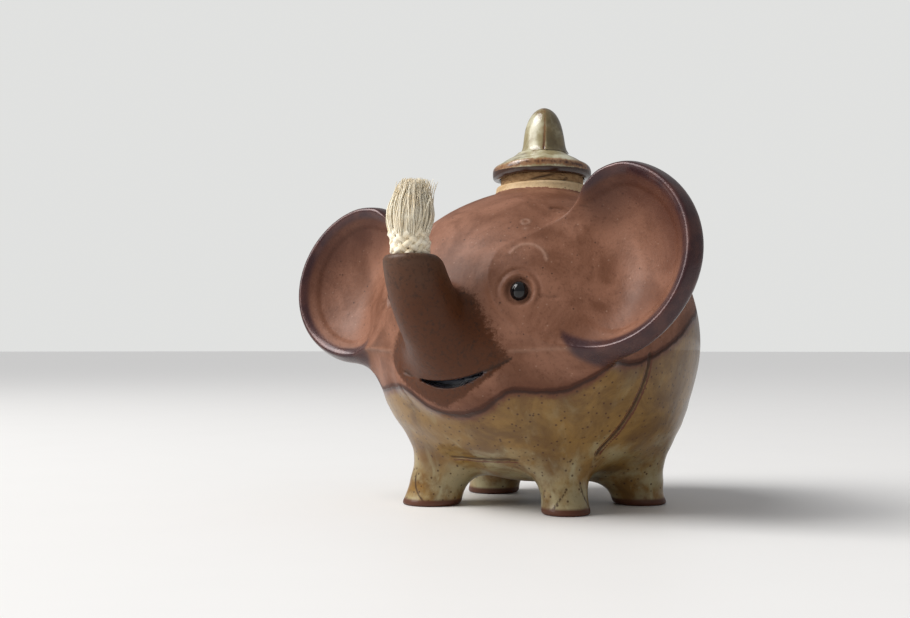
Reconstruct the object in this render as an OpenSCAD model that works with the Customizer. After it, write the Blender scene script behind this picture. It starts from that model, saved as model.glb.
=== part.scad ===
// Round stoneware elephant lamp: a hollow body that holds the fuel, a curved trunk that
// guides a cotton wick, and a corked stopper in the filler hole on its back.
// The elephant looks along -Y, its left is +X, and the table is z = 0.

/* [Body] */
// Widest diameter of the round body
body_d = 103; // [85:0.5:124]
// Height of the body's widest ring above the table
waist_z = 52; // [43:0.5:63]
// Height of the top of the dome above the table
dome_z = 99.6; // [83:0.1:120]
// Height of the lowest point of the belly above the table
belly_z = 7; // [4:0.5:12]
// Thickness of the thrown wall
wall = 5; // [3.5:0.1:6.5]
// How far the luted seam between the two thrown halves lies below the widest ring
seam_drop = 3.5; // [1:0.5:6]

/* [Legs] */
// How far the middle of each front foot lies inside the body's widest ring
front_foot_inset = 19; // [15:0.1:24]
// Angle of each front foot from straight ahead, round the body's axis
front_foot_turn = 47.5; // [38:0.5:57]
// How far the middle of each rear foot lies inside the body's widest ring
rear_foot_inset = 18.1; // [14:0.1:24]
// Angle of each rear foot from straight back, round the body's axis
rear_foot_turn = 58.5; // [47:0.5:70]
// Diameter of a foot at its flared sole
sole_d = 18; // [15:0.5:23]
// Diameter of a leg at its ankle
ankle_d = 17; // [14:0.5:21]
// Height of the ankle above the table
ankle_z = 9; // [6:0.5:12]
// Rounding of the sole's edge
sole_edge = 1.5; // [0.5:0.25:2.5]

/* [Ears] */
// Outer diameter of the left ear over its rolled rim
ear_left_d = 57.5; // [47:0.5:70]
// Outer diameter of the right ear, which was made a little smaller
ear_right_d = 52.5; // [43:0.5:64]
// How far the outermost edge of each ear stands out past the body's widest ring
ear_out = 20.5; // [17:0.5:27]
// How far the middle of an ear's rim lies behind the front of the body's widest ring
ear_back = 20.5; // [17:0.5:25]
// Height of the middle of the left ear above the widest ring
ear_left_rise = 20.5; // [15:0.1:25]
// Height of the middle of the right ear above the widest ring
ear_right_rise = 16.7; // [13:0.1:25]
// Radius of the hollow cup that the front of an ear follows
ear_cup_r = 40; // [36:0.5:60]
// Thickness of the ear's slab
ear_t = 4.5; // [3:0.5:6]
// Radius of the rolled rim
ear_rim_r = 3.4; // [2.75:0.1:4.5]
// Angle by which the top of each ear leans back
ear_lean = 12; // [4:1:20]

/* [Trunk] */
// Radius of the bend that the trunk and its wick bore follow
bend_r = 42; // [35:0.1:51]
// How far the bend's centre lies behind the front of the body's widest ring
bend_back = 27.5; // [24:0.5:31]
// How far the lowest point of the bend lies below the widest ring
bend_drop = 8; // [5:0.5:11]
// Angle along the bend, from straight down, where the trunk ends
tip_angle = 75; // [68:1:80]
// Thickness of the clay round the wick's bore at the trunk's tip
tip_wall = 2.9; // [2:0.1:4.5]
// Outer diameter of the trunk at its root in the face
root_d = 24.5; // [20:0.5:30]
// How far the middle of the root lies under the skin
root_sink = 9.75; // [6:0.05:12]
// Radius that rounds the lip of the trunk's tip
tip_edge = 1.6; // [0.5:0.1:2]

/* [Face] */
// Diameter of an eye bead
eye_d = 5.3; // [4:0.1:6.5]
// Height of the eyes above the widest ring
eye_rise = 13; // [8:0.5:20]
// Angle of each eye from straight ahead, round the body's axis
eye_turn = 27; // [23:1:34]
// How far an eye bead's centre is sunk under the skin
eye_sink = 0.8; // [0.3:0.1:1.6]
// Width of the lower lip
lip_w = 32; // [24:0.5:40]
// How far the middle of the lower lip lies below the widest ring
lip_drop = 17; // [15:0.5:20]
// How far the corners of the lip rise above its middle
lip_smile = 5; // [2:0.5:8]
// Thickness of the roll of clay that makes the lower lip
lip_d = 6; // [4:0.5:7]

/* [Tail] */
// Height of the tail's root above the widest ring
tail_rise = 11; // [4:0.5:18]
// Length of the tail from its root to the middle of its tassel
tail_len = 19; // [12:0.5:26]
// Angle at which the tail hangs away from the body
tail_lean = 16; // [8:1:30]
// Diameter of the tail at its root
tail_root_d = 8; // [6:0.2:11]
// Diameter of the tail above its tassel
tail_d = 5; // [4:0.2:7]
// Diameter of the round tassel at the tail's end
tail_end_d = 7.6; // [6:0.2:10]

/* [Stopper and collar] */
// Distance of the filler hole behind the body's axis
filler_y = 4; // [0:0.5:8]
// Diameter of the cork where it goes into the collar
cork_d = 26.6; // [20:0.1:32]
// Height of the cork that shows between the collar and the cap
cork_show = 3.7; // [2:0.1:6]
// Length of the cork below the cap
cork_len = 18; // [12:0.5:24]
// How much narrower the cork is at its lower end
cork_taper = 2.4; // [0:0.1:4]
// Thickness of the collar round the filler hole
collar_t = 1.6; // [1.4:0.1:4]
// How much the collar's foot spreads on the dome
collar_flare = 1.2; // [0.5:0.1:4]
// Height of the collar's top above the top of the dome
collar_rise = 1.4; // [1:0.1:2.4]
// How far the cap's edge stands out past the cork
cap_over = 2.35; // [1.5:0.05:5]
// Height of the cap from its underside to the foot of the knob
cap_h = 7.6; // [6:0.1:10]
// How far the rolled rim of the cap hangs below its underside
cap_lip = 1.4; // [0.5:0.1:1.6]
// Width of the knob at its foot
knob_w = 15; // [11:0.1:18]
// Height of the knob
knob_h = 14.5; // [9:0.1:18]

/* [Wick] */
// Diameter of the wick
wick_d = 10; // [7:0.1:12]
// Angle of bare wick past the trunk's tip, round the bend
wick_out = 9; // [5:1:12]
// Radius of the bend where the wick drops into the fuel
wick_drop_r = 14; // [12:0.5:16]
// Length of wick that hangs straight below its last bend
wick_hang = 6; // [2:0.5:8]
// How far the frayed tuft stands out past the wick all round
tuft_over = 2; // [1:0.1:4]
// Height of the frayed tuft above the bare wick
tuft_h = 15; // [10:0.5:20]

/* [Fits] */
// Gap between the wick and its bore
wick_fit = 0.3; // [0.2:0.05:0.5]
// Gap between the cork and the collar
cork_fit = 0.1; // [0.05:0.01:0.3]

/* [Hidden] */
$fn = 96;

clay = "#7a4a3a";
dark_clay = "#4a3026";
glaze = "#8f8a5e";
buff = "#b99a70";
cork_tan = "#b98d5f";
cotton = "#e9dcc0";
bead = "#15151a";

step = 6;                       // angle of one facet along the body's outline
body_r = body_d / 2;
far = 2 * body_d;               // safely past every side of the body
seam_z = waist_z - seam_drop;
ear_reach = body_r + ear_out;
ear_y = body_r - ear_back;
eye_z = waist_z + eye_rise;
lip_z = waist_z - lip_drop;
tail_z = waist_z + tail_rise;

bore_r = wick_d / 2 + wick_fit;
tip_r = bore_r + tip_wall;
bend_y = body_r - bend_back;
bend_z = waist_z - bend_drop + bend_r;

collar_bore_r = cork_d / 2 + cork_fit;
collar_r = collar_bore_r + collar_t;
collar_z = dome_z + collar_rise;
cap_z = collar_z + cork_show;
cap_r = cork_d / 2 + cap_over;
knob_z = cap_z + cap_h;

// The skin's radius at a height, and the belly's height at a radius.
function skin_r(z) =
    let (h = z < waist_z ? waist_z - belly_z : dome_z - waist_z)
    body_r * sqrt(1 - pow((z - waist_z) / h, 2));
function belly_at(r) = waist_z - (waist_z - belly_z) * sqrt(1 - pow(r / body_r, 2));

// The reach of the tail and of the trunk's tip set where the body's axis stands, so that
// the origin is under the middle of the whole lamp.
back_reach = skin_r(tail_z) + tail_len * sin(tail_lean) + tail_end_d / 2;
front_reach = bend_y + bend_r * sin(tip_angle) + tip_r * sin(tip_angle);
axis_y = (front_reach - back_reach) / 2;

// A point on the outline of the body, set in from the skin, at an angle from the waist.
function outline(angle, inset) =
    [(body_r - inset) * cos(angle),
     waist_z + sin(angle) * ((angle < 0 ? waist_z - belly_z : dome_z - waist_z) - inset)];

// The solid body of revolution, set in from the skin.
module form(inset = 0) {
    rotate_extrude()
        polygon([for (angle = [-90 : step : 90]) outline(angle, inset)]);
}

// Pieces that belong to the body's own axis.
module on_axis() {
    translate([0, axis_y, 0]) children();
}

// Pieces that follow the bend of the trunk lie in its own turned plane: an angle of 0 is
// straight down from the bend's centre and 90 is straight ahead of it.
module on_bend(start, sweep) {
    translate([0, -bend_y, bend_z])
        rotate([0, 90, 0])
            rotate([0, 0, -sweep - start])
                rotate_extrude(angle = sweep)
                    translate([bend_r, 0]) children();
}

module wick_bore() {
    on_bend(0, 89) circle(r = bore_r);
}

module eye_place(side) {
    rotate([0, 0, side * eye_turn])
        translate([0, eye_sink - skin_r(eye_z), eye_z]) children();
}

// The hollow thrown shell, whole, with the hole that the wick comes through.
module shell() {
    difference() {
        form();
        form(wall);
        wick_bore();
    }
}

module upper_shell() {
    color(clay) on_axis() difference() {
        shell();
        translate([0, 0, seam_z - far]) cylinder(r = far, h = far);
        translate([0, filler_y, waist_z]) cylinder(r = collar_r, h = far);
        for (side = [-1, 1]) eye_place(side) sphere(d = eye_d);
    }
}

module lower_shell() {
    color(glaze) on_axis() difference() {
        shell();
        translate([0, 0, seam_z]) cylinder(r = far, h = far);
    }
}

// The collar goes through the dome's wall, and its foot spreads on the dome.
module neck_collar() {
    color(buff) on_axis() difference() {
        union() {
            translate([0, filler_y, waist_z]) cylinder(r = collar_r, h = collar_z - waist_z);
            difference() {
                translate([0, filler_y, waist_z])
                    cylinder(r1 = collar_r + collar_flare + collar_z - waist_z,
                             r2 = collar_r, h = collar_z - waist_z);
                form();
                translate([0, filler_y, 0])
                    difference() {
                        cylinder(r = far, h = far);
                        cylinder(r = collar_r + collar_flare, h = far);
                    }
            }
        }
        form(wall);
        translate([0, filler_y, 0]) cylinder(r = collar_bore_r, h = far);
    }
}

// A closed skin over rings of points, each ring with the same number of sides.
module tube(points, rings, sides) {
    walls = [for (i = [0 : rings - 2], side = [0 : sides - 1])
        let (next = (side + 1) % sides, low = i * sides, high = low + sides)
        [low + side, high + side, high + next, low + next]];
    start = [for (side = [0 : sides - 1]) side];
    end = [for (side = [sides - 1 : -1 : 0]) (rings - 1) * sides + side];
    polyhedron(points, concat([start], walls, [end]), convexity = 6);
}

// A point of a ring that stands square on the bend: its angle along the bend, its radius,
// and the side of the ring.
function bend_point(angle, radius, turn) =
    let (reach = bend_r + radius * cos(turn))
    [radius * sin(turn), -bend_y - reach * sin(angle), bend_z - reach * cos(angle)];

// The trunk's radius grows from the tip to the root, and the last rings round the lip over.
// Two more rings carry it on below the skin.
trunk_sides = 24;
trunk_steps = 13;
lip_steps = 4;
root_angle = asin((bend_back - root_sink) / bend_r);
function trunk_radius(angle) =
    tip_r + (root_d / 2 - tip_r) * pow((tip_angle - angle) / (tip_angle - root_angle), 1.2);
trunk_rings = concat(
    [for (i = [-2 : trunk_steps - 1])
        let (angle = root_angle + (tip_angle - root_angle) * i / trunk_steps)
        [angle, trunk_radius(angle)]],
    [for (i = [0 : lip_steps])
        let (turn = 90 * i / lip_steps)
        [tip_angle - (tip_edge - tip_edge * sin(turn)) * 180 / PI / bend_r,
         tip_r - tip_edge + tip_edge * cos(turn)]]);

module trunk_skin() {
    points = [for (ring = trunk_rings, side = [0 : trunk_sides - 1])
        bend_point(ring[0], ring[1], side * 360 / trunk_sides)];
    tube(points, len(trunk_rings), trunk_sides);
}

module trunk() {
    color(dark_clay) on_axis() difference() {
        trunk_skin();
        form();
        wick_bore();
    }
}

// The lower lip is a roll of clay that tapers to the corners of a smile, pressed on
// under the trunk.
lip_sides = 16;
lip_rings = 12;
module lower_lip() {
    half = asin(lip_w / 2 / body_r);
    points = [for (i = [0 : lip_rings], side = [0 : lip_sides - 1])
        let (u = 2 * i / lip_rings - 1,
             thick = lip_d / 2 * sqrt(1 - 0.85 * u * u),
             z = lip_z + lip_smile * u * u,
             turn = side * 360 / lip_sides,
             reach = skin_r(z) + thick * cos(turn))
        [reach * sin(half * u), -reach * cos(half * u), z + thick * sin(turn)]];
    color(clay) on_axis() difference() {
        tube(points, lip_rings + 1, lip_sides);
        form();
        trunk_skin();
    }
}

// A cupped ear that looks along its own +Z, with the middle of its rim plane at the origin.
module ear_blank(d) {
    rim_mid_r = d / 2 - ear_rim_r;
    cup_mid_z = sqrt(pow(ear_cup_r, 2) - pow(rim_mid_r, 2));
    intersection() {
        translate([0, 0, cup_mid_z])
            difference() {
                sphere(r = ear_cup_r + ear_t / 2);
                sphere(r = ear_cup_r - ear_t / 2);
            }
        translate([0, 0, -ear_cup_r]) cylinder(r = rim_mid_r, h = ear_cup_r);
    }
    rotate_extrude() translate([rim_mid_r, 0]) circle(r = ear_rim_r);
}

// An ear is made on the left side, and the right one is its mirror image.
module ear(side, d, rise) {
    color(clay) on_axis() mirror([side < 0 ? 1 : 0, 0, 0]) difference() {
        translate([ear_reach - d / 2, -ear_y, waist_z + rise])
            rotate([90 - ear_lean, 0, 0]) ear_blank(d);
        form();
    }
}

module ear_left() {
    ear(1, ear_left_d, ear_left_rise);
}

module ear_right() {
    ear(-1, ear_right_d, ear_right_rise);
}

module eye(side) {
    color(bead) on_axis() eye_place(side) sphere(d = eye_d);
}

module eye_left() {
    eye(1);
}

module eye_right() {
    eye(-1);
}

// A leg is turned round its own upright line and ends on the skin of the belly. It stands
// at an angle round the body's axis, counted from straight ahead towards the left.
module leg(turn, inset) {
    reach = body_r - inset;
    top = belly_at(reach) + wall;
    color(glaze) on_axis() difference() {
        translate([reach * sin(turn), -reach * cos(turn), 0])
            rotate_extrude()
                polygon([[0, 0], [sole_d / 2 - sole_edge, 0], [sole_d / 2, sole_edge],
                         [ankle_d / 2, ankle_z], [ankle_d / 2 + 1, ankle_z + 4],
                         [ankle_d / 2 + 1, top], [0, top]]);
        form();
    }
}

module leg_front_left() {
    leg(front_foot_turn, front_foot_inset);
}

module leg_front_right() {
    leg(-front_foot_turn, front_foot_inset);
}

module leg_rear_left() {
    leg(180 - rear_foot_turn, rear_foot_inset);
}

module leg_rear_right() {
    leg(180 + rear_foot_turn, rear_foot_inset);
}

// The tail is a short tapered roll that hangs down the back and ends in a round tassel.
module tail() {
    color(glaze) on_axis() difference() {
        translate([0, skin_r(tail_z), tail_z]) rotate([180 + tail_lean, 0, 0]) {
            sphere(d = tail_root_d);
            cylinder(d1 = tail_root_d, d2 = tail_d, h = tail_len);
            translate([0, 0, tail_len]) sphere(d = tail_end_d);
        }
        form();
    }
}

module at_filler() {
    on_axis() translate([0, filler_y, 0]) children();
}

// The cap is a turned mushroom with a rolled rim that hangs a little below its underside.
module stopper_cap() {
    rim_r = cap_h * 0.36;
    color(glaze) at_filler() translate([0, 0, cap_z]) difference() {
        union() {
            rotate_extrude()
                polygon([[0, 0], [cap_r - rim_r, 0], [cap_r - rim_r / 2, rim_r * 1.7],
                         [knob_w / 2 + 1.5, cap_h - 1], [knob_w / 2, cap_h], [0, cap_h]]);
            translate([0, 0, rim_r - cap_lip])
                rotate_extrude() translate([cap_r - rim_r, 0]) circle(r = rim_r);
        }
        translate([0, 0, -far]) cylinder(d = cork_d, h = far);
    }
}

// The knob is a tall pinched block: four sides that meet in soft ridges, and a round top.
module stopper_knob() {
    sides = 32;
    levels = 9;
    // one ridge looks forward and to the left, as the fingers pinched it
    ridge_turn = -54;
    function girth(t) = knob_w / 2 * (1 - 0.16 * t) * pow(1 - pow(t, 3.2), 0.5);
    function ridge(a) = 1 / pow(pow(abs(cos(a)), 1.5) + pow(abs(sin(a)), 1.5), 1 / 1.5);
    points = concat(
        [for (i = [0 : levels - 1], s = [0 : sides - 1])
            let (t = i / levels, a = s * 360 / sides, r = girth(t) * ridge(a))
            [r * cos(a), r * sin(a), t * knob_h]],
        [[0, 0, knob_h]]);
    walls = [for (i = [0 : levels - 2], s = [0 : sides - 1])
        let (next = (s + 1) % sides, low = i * sides, high = low + sides)
        [low + s, high + s, high + next, low + next]];
    crown = [for (s = [0 : sides - 1])
        [(levels - 1) * sides + s, levels * sides, (levels - 1) * sides + (s + 1) % sides]];
    foot = [for (s = [0 : sides - 1]) s];
    color(glaze) at_filler() translate([0, 0, knob_z]) rotate([0, 0, ridge_turn])
        polyhedron(points, concat([foot], walls, crown), convexity = 2);
}

module stopper_cork() {
    grip = cap_z - collar_z;      // the straight part that shows above the collar
    color(cork_tan) at_filler() translate([0, 0, cap_z - cork_len]) {
        cylinder(d1 = cork_d - cork_taper, d2 = cork_d, h = cork_len - grip);
        translate([0, 0, cork_len - grip]) cylinder(d = cork_d, h = grip);
    }
}

// The wick follows the bend down the trunk, turns over a smaller bend and hangs in the
// fuel, all in one plane.
wick_sides = 16;
wick_top = tip_angle + wick_out;
drop_z = bend_z - bend_r - wick_drop_r;
function drop_point(angle, turn) =
    let (reach = wick_drop_r - wick_d / 2 * cos(turn))
    [wick_d / 2 * sin(turn), -bend_y + reach * sin(angle), drop_z + reach * cos(angle)];

module wick_cord() {
    bend_angles = [for (i = [0 : 14]) wick_top * (1 - i / 14)];
    drop_angles = [for (i = [1 : 6]) 15 * i];
    turns = [for (side = [0 : wick_sides - 1]) side * 360 / wick_sides];
    points = concat(
        [for (angle = bend_angles, turn = turns) bend_point(angle, wick_d / 2, turn)],
        [for (angle = drop_angles, turn = turns) drop_point(angle, turn)],
        [for (turn = turns) drop_point(90, turn) - [0, 0, wick_hang]]);
    rings = len(bend_angles) + len(drop_angles) + 1;
    color(cotton) on_axis() tube(points, rings, wick_sides);
}

// The frayed end of the wick stands on the end of the cord and carries its line on.
module wick_tuft() {
    tuft_r = wick_d / 2 + tuft_over;
    color(cotton) on_axis()
        translate([0, -bend_y - bend_r * sin(wick_top), bend_z - bend_r * cos(wick_top)])
            rotate([90 - wick_top, 0, 0])
                rotate_extrude()
                    polygon([[0, 0], [wick_d / 2 + 0.2 * tuft_over, 0],
                             [tuft_r * 0.9, tuft_h * 0.15], [tuft_r, tuft_h * 0.4],
                             [tuft_r * 0.94, tuft_h * 0.65], [tuft_r * 0.72, tuft_h * 0.9],
                             [tuft_r * 0.4, tuft_h], [0, tuft_h]]);
}

upper_shell();
lower_shell();
neck_collar();
trunk();
lower_lip();
ear_left();
ear_right();
eye_left();
eye_right();
leg_front_left();
leg_front_right();
leg_rear_left();
leg_rear_right();
tail();
stopper_cap();
stopper_knob();
stopper_cork();
wick_cord();
wick_tuft();
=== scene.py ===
"""The looks of the stoneware elephant lamp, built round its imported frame.

The clay is modelled as one continuous skin, as the maker smoothed it, and is then parted into
the pieces that were thrown and luted together. Lengths in the clay functions are millimetres
from the body's own axis; everything that reaches Blender is in metres in the shared frame.
"""
import math

import bpy
import numpy as np
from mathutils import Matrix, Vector


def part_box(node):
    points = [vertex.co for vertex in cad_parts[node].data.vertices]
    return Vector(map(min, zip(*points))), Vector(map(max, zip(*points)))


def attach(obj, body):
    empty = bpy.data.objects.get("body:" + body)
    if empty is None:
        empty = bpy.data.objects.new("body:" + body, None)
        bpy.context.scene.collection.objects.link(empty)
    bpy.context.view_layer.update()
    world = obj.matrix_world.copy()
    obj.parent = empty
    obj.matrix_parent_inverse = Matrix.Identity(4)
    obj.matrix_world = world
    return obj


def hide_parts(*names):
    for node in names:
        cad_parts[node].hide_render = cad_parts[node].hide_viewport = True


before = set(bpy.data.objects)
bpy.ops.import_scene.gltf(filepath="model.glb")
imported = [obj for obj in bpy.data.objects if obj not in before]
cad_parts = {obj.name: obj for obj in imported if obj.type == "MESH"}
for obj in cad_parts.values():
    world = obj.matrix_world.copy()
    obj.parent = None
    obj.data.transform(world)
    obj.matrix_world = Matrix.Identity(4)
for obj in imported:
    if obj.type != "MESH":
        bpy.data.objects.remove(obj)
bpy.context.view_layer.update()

MM = 0.001

# ---- sizes shared with the frame ---------------------------------------------------------

shell_low, shell_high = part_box("upper_shell")
AXIS_Y = (shell_low.y + shell_high.y) / 2 / MM
BODY_R = (shell_high.x - shell_low.x) / 2 / MM
SEAM_Z = shell_low.z / MM
WAIST_Z = 52.0
DOME_H = 47.6
BELLY_H = 45.0
WALL = 5.0

BEND_Y = 24.0
BEND_Z = 86.0
BEND_R = 42.0
TIP_TURN = 75.0
TIP_Z = 75.0
ROOT_TURN = 25.0
TIP_R = 8.2
ROOT_R = 12.25
BORE_R = 5.3

EAR_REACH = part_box("ear_left")[1].x / MM
EAR_Y = 31.0
EAR_CUP_R = 40.0
EAR_HALF = 2.25
EAR_RIM_R = 3.4
EAR_LEAN = math.radians(12)
# Each ear: its side, its size across, its middle's height, how far its inner corner is drawn in.
EARS = {"left": (1, 58.8, 74.3, 4.6), "right": (-1, 53.0, 69.9, 1.5)}

LIP_TURN = 18.1
LIP_Z = 35.0
MOUTH_TURN = 4.5
MOUTH_Z = 39.9
MUZZLE_AT = (2.6, -41.5, 49.5)
MUZZLE_R = (17, 13, 13)

EYE_TURN = 27.0
EYE_Z = 65.0
BEAD_R = 2.6
BEAD_TALL = 2.85
# Thin marks of the face: turn and height on the skin, and the radius of the arc or ring.
BROW = (29.5, 74.2, 5.4)
ROUND_MARK = (27.9, 86.0, 1.1)
# Lines scored in the glazed belly.
SHOULDER_LOW = 18.8
SHOULDER_RISE = 27.6
SHOULDER_TURN = 62.6
BELLY_LINE_Z = 15.9

FILLER_Y = 4.0
COLLAR_BORE_R = 13.4
COLLAR_R = 15.0
COLLAR_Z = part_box("neck_collar")[1].z / MM
TAIL_Z = 63.0
TAIL_LEN = 19.0
TAIL_LEAN = math.radians(16)
# The side from which the lamp is mostly seen.
VIEW_TURN = math.radians(36)
# Where each foot stands and the radius of its sole.
FEET = {"front_left": (22.9, -19.6, 7.3), "front_right": (-24.8, -22.6, 9.2),
        "rear_left": (28.0, 17.2, 8.4), "rear_right": (-28.3, 17.4, 8.6)}

# Height of the glaze's edge round the body: turn from straight ahead in degrees, height.
GLAZE_EDGE = [
    (-180, 60), (-163, 57), (-148, 61), (-130, 57), (-112, 60), (-96, 55), (-84, 49),
    (-73, 46), (-62, 45), (-55, 42), (-47, 36), (-38, 36.5), (-29, 37.5), (-18, 37.8),
    (-13, 36.5), (-9, 33), (-4, 30.8), (3, 29.7), (10, 30.5), (16, 32.8), (21, 36),
    (25, 37.4), (31, 37), (37, 36.7), (42, 37.2), (46, 38.8), (51, 41.2), (54, 44.6),
    (57, 45.6), (62, 44.6), (67, 45), (74, 47), (84, 51), (96, 57), (112, 61),
    (130, 57), (148, 61), (163, 57), (180, 60)]


# ---- clay shapes -------------------------------------------------------------------------

def smooth_union(a, b, blend):
    """The nearer of a and b, with the corner between them filled in."""
    h = np.clip(0.5 + 0.5 * (b - a) / blend, 0, 1)
    return b + (a - b) * h - blend * h * (1 - h)


def smooth_cut(a, b, blend):
    """The part of a that is also inside b, with the edge eased over."""
    return -smooth_union(-a, -b, blend)


def step_up(x, low, high):
    """Eases from 0 to 1 as x goes from low to high."""
    t = np.clip((x - low) / (high - low), 0, 1)
    return t * t * (3 - 2 * t)


def wrapped(angle, whole=360):
    """The same direction as an angle between minus and plus half a turn."""
    return (angle + whole / 2) % whole - whole / 2


def unit(rows):
    return rows / np.maximum(np.linalg.norm(rows, axis=1), 1e-9)[:, None]


def turn_of(p):
    """Turn from straight ahead towards the left, in degrees."""
    return np.degrees(np.arctan2(p[:, 0], -p[:, 1]))


def skin_r(z):
    """Radius of the thrown body at a height."""
    h = np.where(z < WAIST_Z, BELLY_H, DOME_H)
    return BODY_R * np.sqrt(np.clip(1 - ((z - WAIST_Z) / h) ** 2, 0.0004, 1))


def stretched(q, radii):
    """Distance from a stretched ball round the origin, true near its surface."""
    u = q / radii
    k0 = np.linalg.norm(u, axis=1)
    k1 = np.linalg.norm(u / radii, axis=1)
    return k0 * (k0 - 1) / np.maximum(k1, 1e-5)


def body(p):
    """Distance from the thrown body: a round belly under a slightly taller dome."""
    half = np.where(p[:, 2] < WAIST_Z, BELLY_H, DOME_H)
    wide = half * 0 + BODY_R
    return stretched(p - np.array((0, 0, WAIST_Z)), np.stack([wide, wide, half], 1))


def ball(p, centre, radii):
    return stretched(p - np.array(centre), np.array(radii))


def ear_places(p, side, size, height, lower):
    """Distance from the middle of an ear in its rim's plane, distance ahead of that plane, and
    how far a point is towards the face: 1 on the face's side, -1 on the outer side. The corner
    next to the face is drawn in by lower."""
    x = p[:, 0] * side - (EAR_REACH - size / 2)
    y = p[:, 1] + EAR_Y
    z = p[:, 2] - height
    up = y * math.sin(EAR_LEAN) + z * math.cos(EAR_LEAN)
    ahead = -y * math.cos(EAR_LEAN) + z * math.sin(EAR_LEAN)
    r = np.hypot(x, up)
    slant = step_up(np.degrees(np.arctan2(up, x)), 74, 122) * step_up(up, 0, 8)
    return r + lower * slant * step_up(r, 6, 20), ahead, -x / np.maximum(r, 1)


def ear_rim(p, side, size, height, lower):
    """The rolled rim: its front ridge stands inside its outer wall. It dies away at the cheek."""
    r, ahead, inward = ear_places(p, side, size, height, lower)
    fade = step_up(inward, 0.1, 0.75)
    deep = ahead - 1.0 + 3.6 * fade
    across = np.abs(r - (size / 2 - EAR_RIM_R) + 0.7 + 0.3 * deep) + 0.3 * fade
    section = (across ** 2.6 + np.abs(deep * 0.68) ** 2.6) ** (1 / 2.6)
    return section - (EAR_RIM_R - 0.2) * (1 - 0.75 * fade)


def ear(p, side, size, height, lower):
    """A cupped ear: part of a hollow ball with a rolled rim, sunk into the dome at its root."""
    r, ahead, inward = ear_places(p, side, size, height, lower)
    rim_mid = size / 2 - EAR_RIM_R
    mid = math.sqrt(EAR_CUP_R ** 2 - rim_mid ** 2)
    cup = np.abs(np.hypot(r, ahead - mid) - EAR_CUP_R) - EAR_HALF
    cup = smooth_cut(cup, r - rim_mid, 1)
    hollow = EAR_CUP_R - EAR_HALF - np.hypot(r, ahead - mid)
    rim = smooth_cut(ear_rim(p, side, size, height, lower), hollow, 1.2)
    sunk = 5 * step_up(inward * r, 8, 26) * step_up(p[:, 2] - height, -6, 8)
    return smooth_union(cup, rim, 1.5) + sunk


def bend_places(p):
    """Turn along the trunk's bend from straight down, and distance from the bend's line."""
    y = p[:, 1] + BEND_Y
    z = p[:, 2] - BEND_Z
    turn = np.degrees(np.arctan2(-y, -z))
    return turn, np.hypot(p[:, 0], np.hypot(y, z) - BEND_R)


def smile(p):
    """Height of the mouth's line above the table."""
    return MOUTH_Z + 5.0 * (turn_of(p) / 22) ** 2


def trunk(p):
    """The raised trunk with its sloping tip, and the muzzle at its root, cut off at the mouth."""
    turn, off = bend_places(p)
    grow = np.clip((TIP_TURN - turn) / (TIP_TURN - ROOT_TURN), 0, 1.4)
    tube = off - TIP_R - (ROOT_R - TIP_R - 0.4) * grow ** 1.25
    behind = np.clip(p[:, 1] + BEND_Y + BEND_R - 2, 0, 12)
    end = p[:, 2] - TIP_Z + 0.028 * behind ** 2
    tube = smooth_cut(tube, end, 2.6)
    tube = np.maximum(tube, np.radians(8 - turn) * BEND_R)
    tube = np.maximum(tube, np.radians(turn - 100) * BEND_R)
    muzzle = ball(p, MUZZLE_AT, MUZZLE_R)
    snout = smooth_union(tube, muzzle, 7)
    return smooth_cut(snout, (smile(p) - p[:, 2]) * 0.9, 1.2)


def lip(p):
    """The roll of clay under the mouth, thinner towards its ends."""
    turn = turn_of(p)
    inside = np.clip(turn / LIP_TURN, -1, 1)
    z = LIP_Z + 5 * inside ** 2
    past = np.radians(turn - inside * LIP_TURN) * BODY_R
    thick = 2.3 * np.sqrt(1 - 0.85 * inside ** 2)
    out = np.hypot(p[:, 0], p[:, 1]) - skin_r(z) + 1.5
    return np.sqrt(out ** 2 + (p[:, 2] - z) ** 2 + past ** 2) - thick


def leg(p, x, y, sole):
    """A stub leg that leans out a little and flares at its sole."""
    z = p[:, 2]
    lean = 1 - 0.011 * z
    r = np.hypot(p[:, 0] - x * lean, p[:, 1] - y * lean)
    side = r - sole + 1.0 - 1.3 * np.exp(-np.maximum(z, 0) / 3.2) - 0.1 * z
    return smooth_cut(smooth_cut(side * 0.95, -z, 1.6), z - 30, 1)


def tail(p):
    """A short rolled tail with a thicker end, laid against the back."""
    a = np.array((0, float(skin_r(np.array(TAIL_Z))), TAIL_Z))
    along = np.array((0, math.sin(TAIL_LEAN), -math.cos(TAIL_LEAN)))
    q = p - a
    t = np.clip(q @ along / TAIL_LEN, 0, 1)
    off = np.linalg.norm(q - t[:, None] * along * TAIL_LEN, axis=1)
    roll = off - 4 + 1.6 * t
    end = a + along * TAIL_LEN
    tassel = ball(p, end, (3.6, 3.6, 3.9))
    return smooth_union(roll, tassel, 1.5)


def collar(p):
    """The low ring round the filler hole."""
    r = np.hypot(p[:, 0], p[:, 1] - FILLER_Y)
    z = p[:, 2]
    ring = smooth_cut(r - COLLAR_R, z - COLLAR_Z, 1.0)
    return np.maximum(ring, 90 - z)


def clay_parts(p):
    """Every raised piece of clay that is luted to the thrown body."""
    parts = {"trunk": trunk(p), "lip": lip(p), "tail": tail(p), "collar": collar(p)}
    for name, place in EARS.items():
        parts["ear_" + name] = ear(p, *place)
    for name, foot in FEET.items():
        parts["leg_" + name] = leg(p, *foot)
    return parts


BLENDS = {"trunk": 5.0, "lip": 9.0, "tail": 3.0, "collar": 2.2, "ear_left": 10.5,
          "ear_right": 8.0, "leg_front_left": 8.0, "leg_front_right": 8.0,
          "leg_rear_left": 8.0, "leg_rear_right": 8.0}


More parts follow.
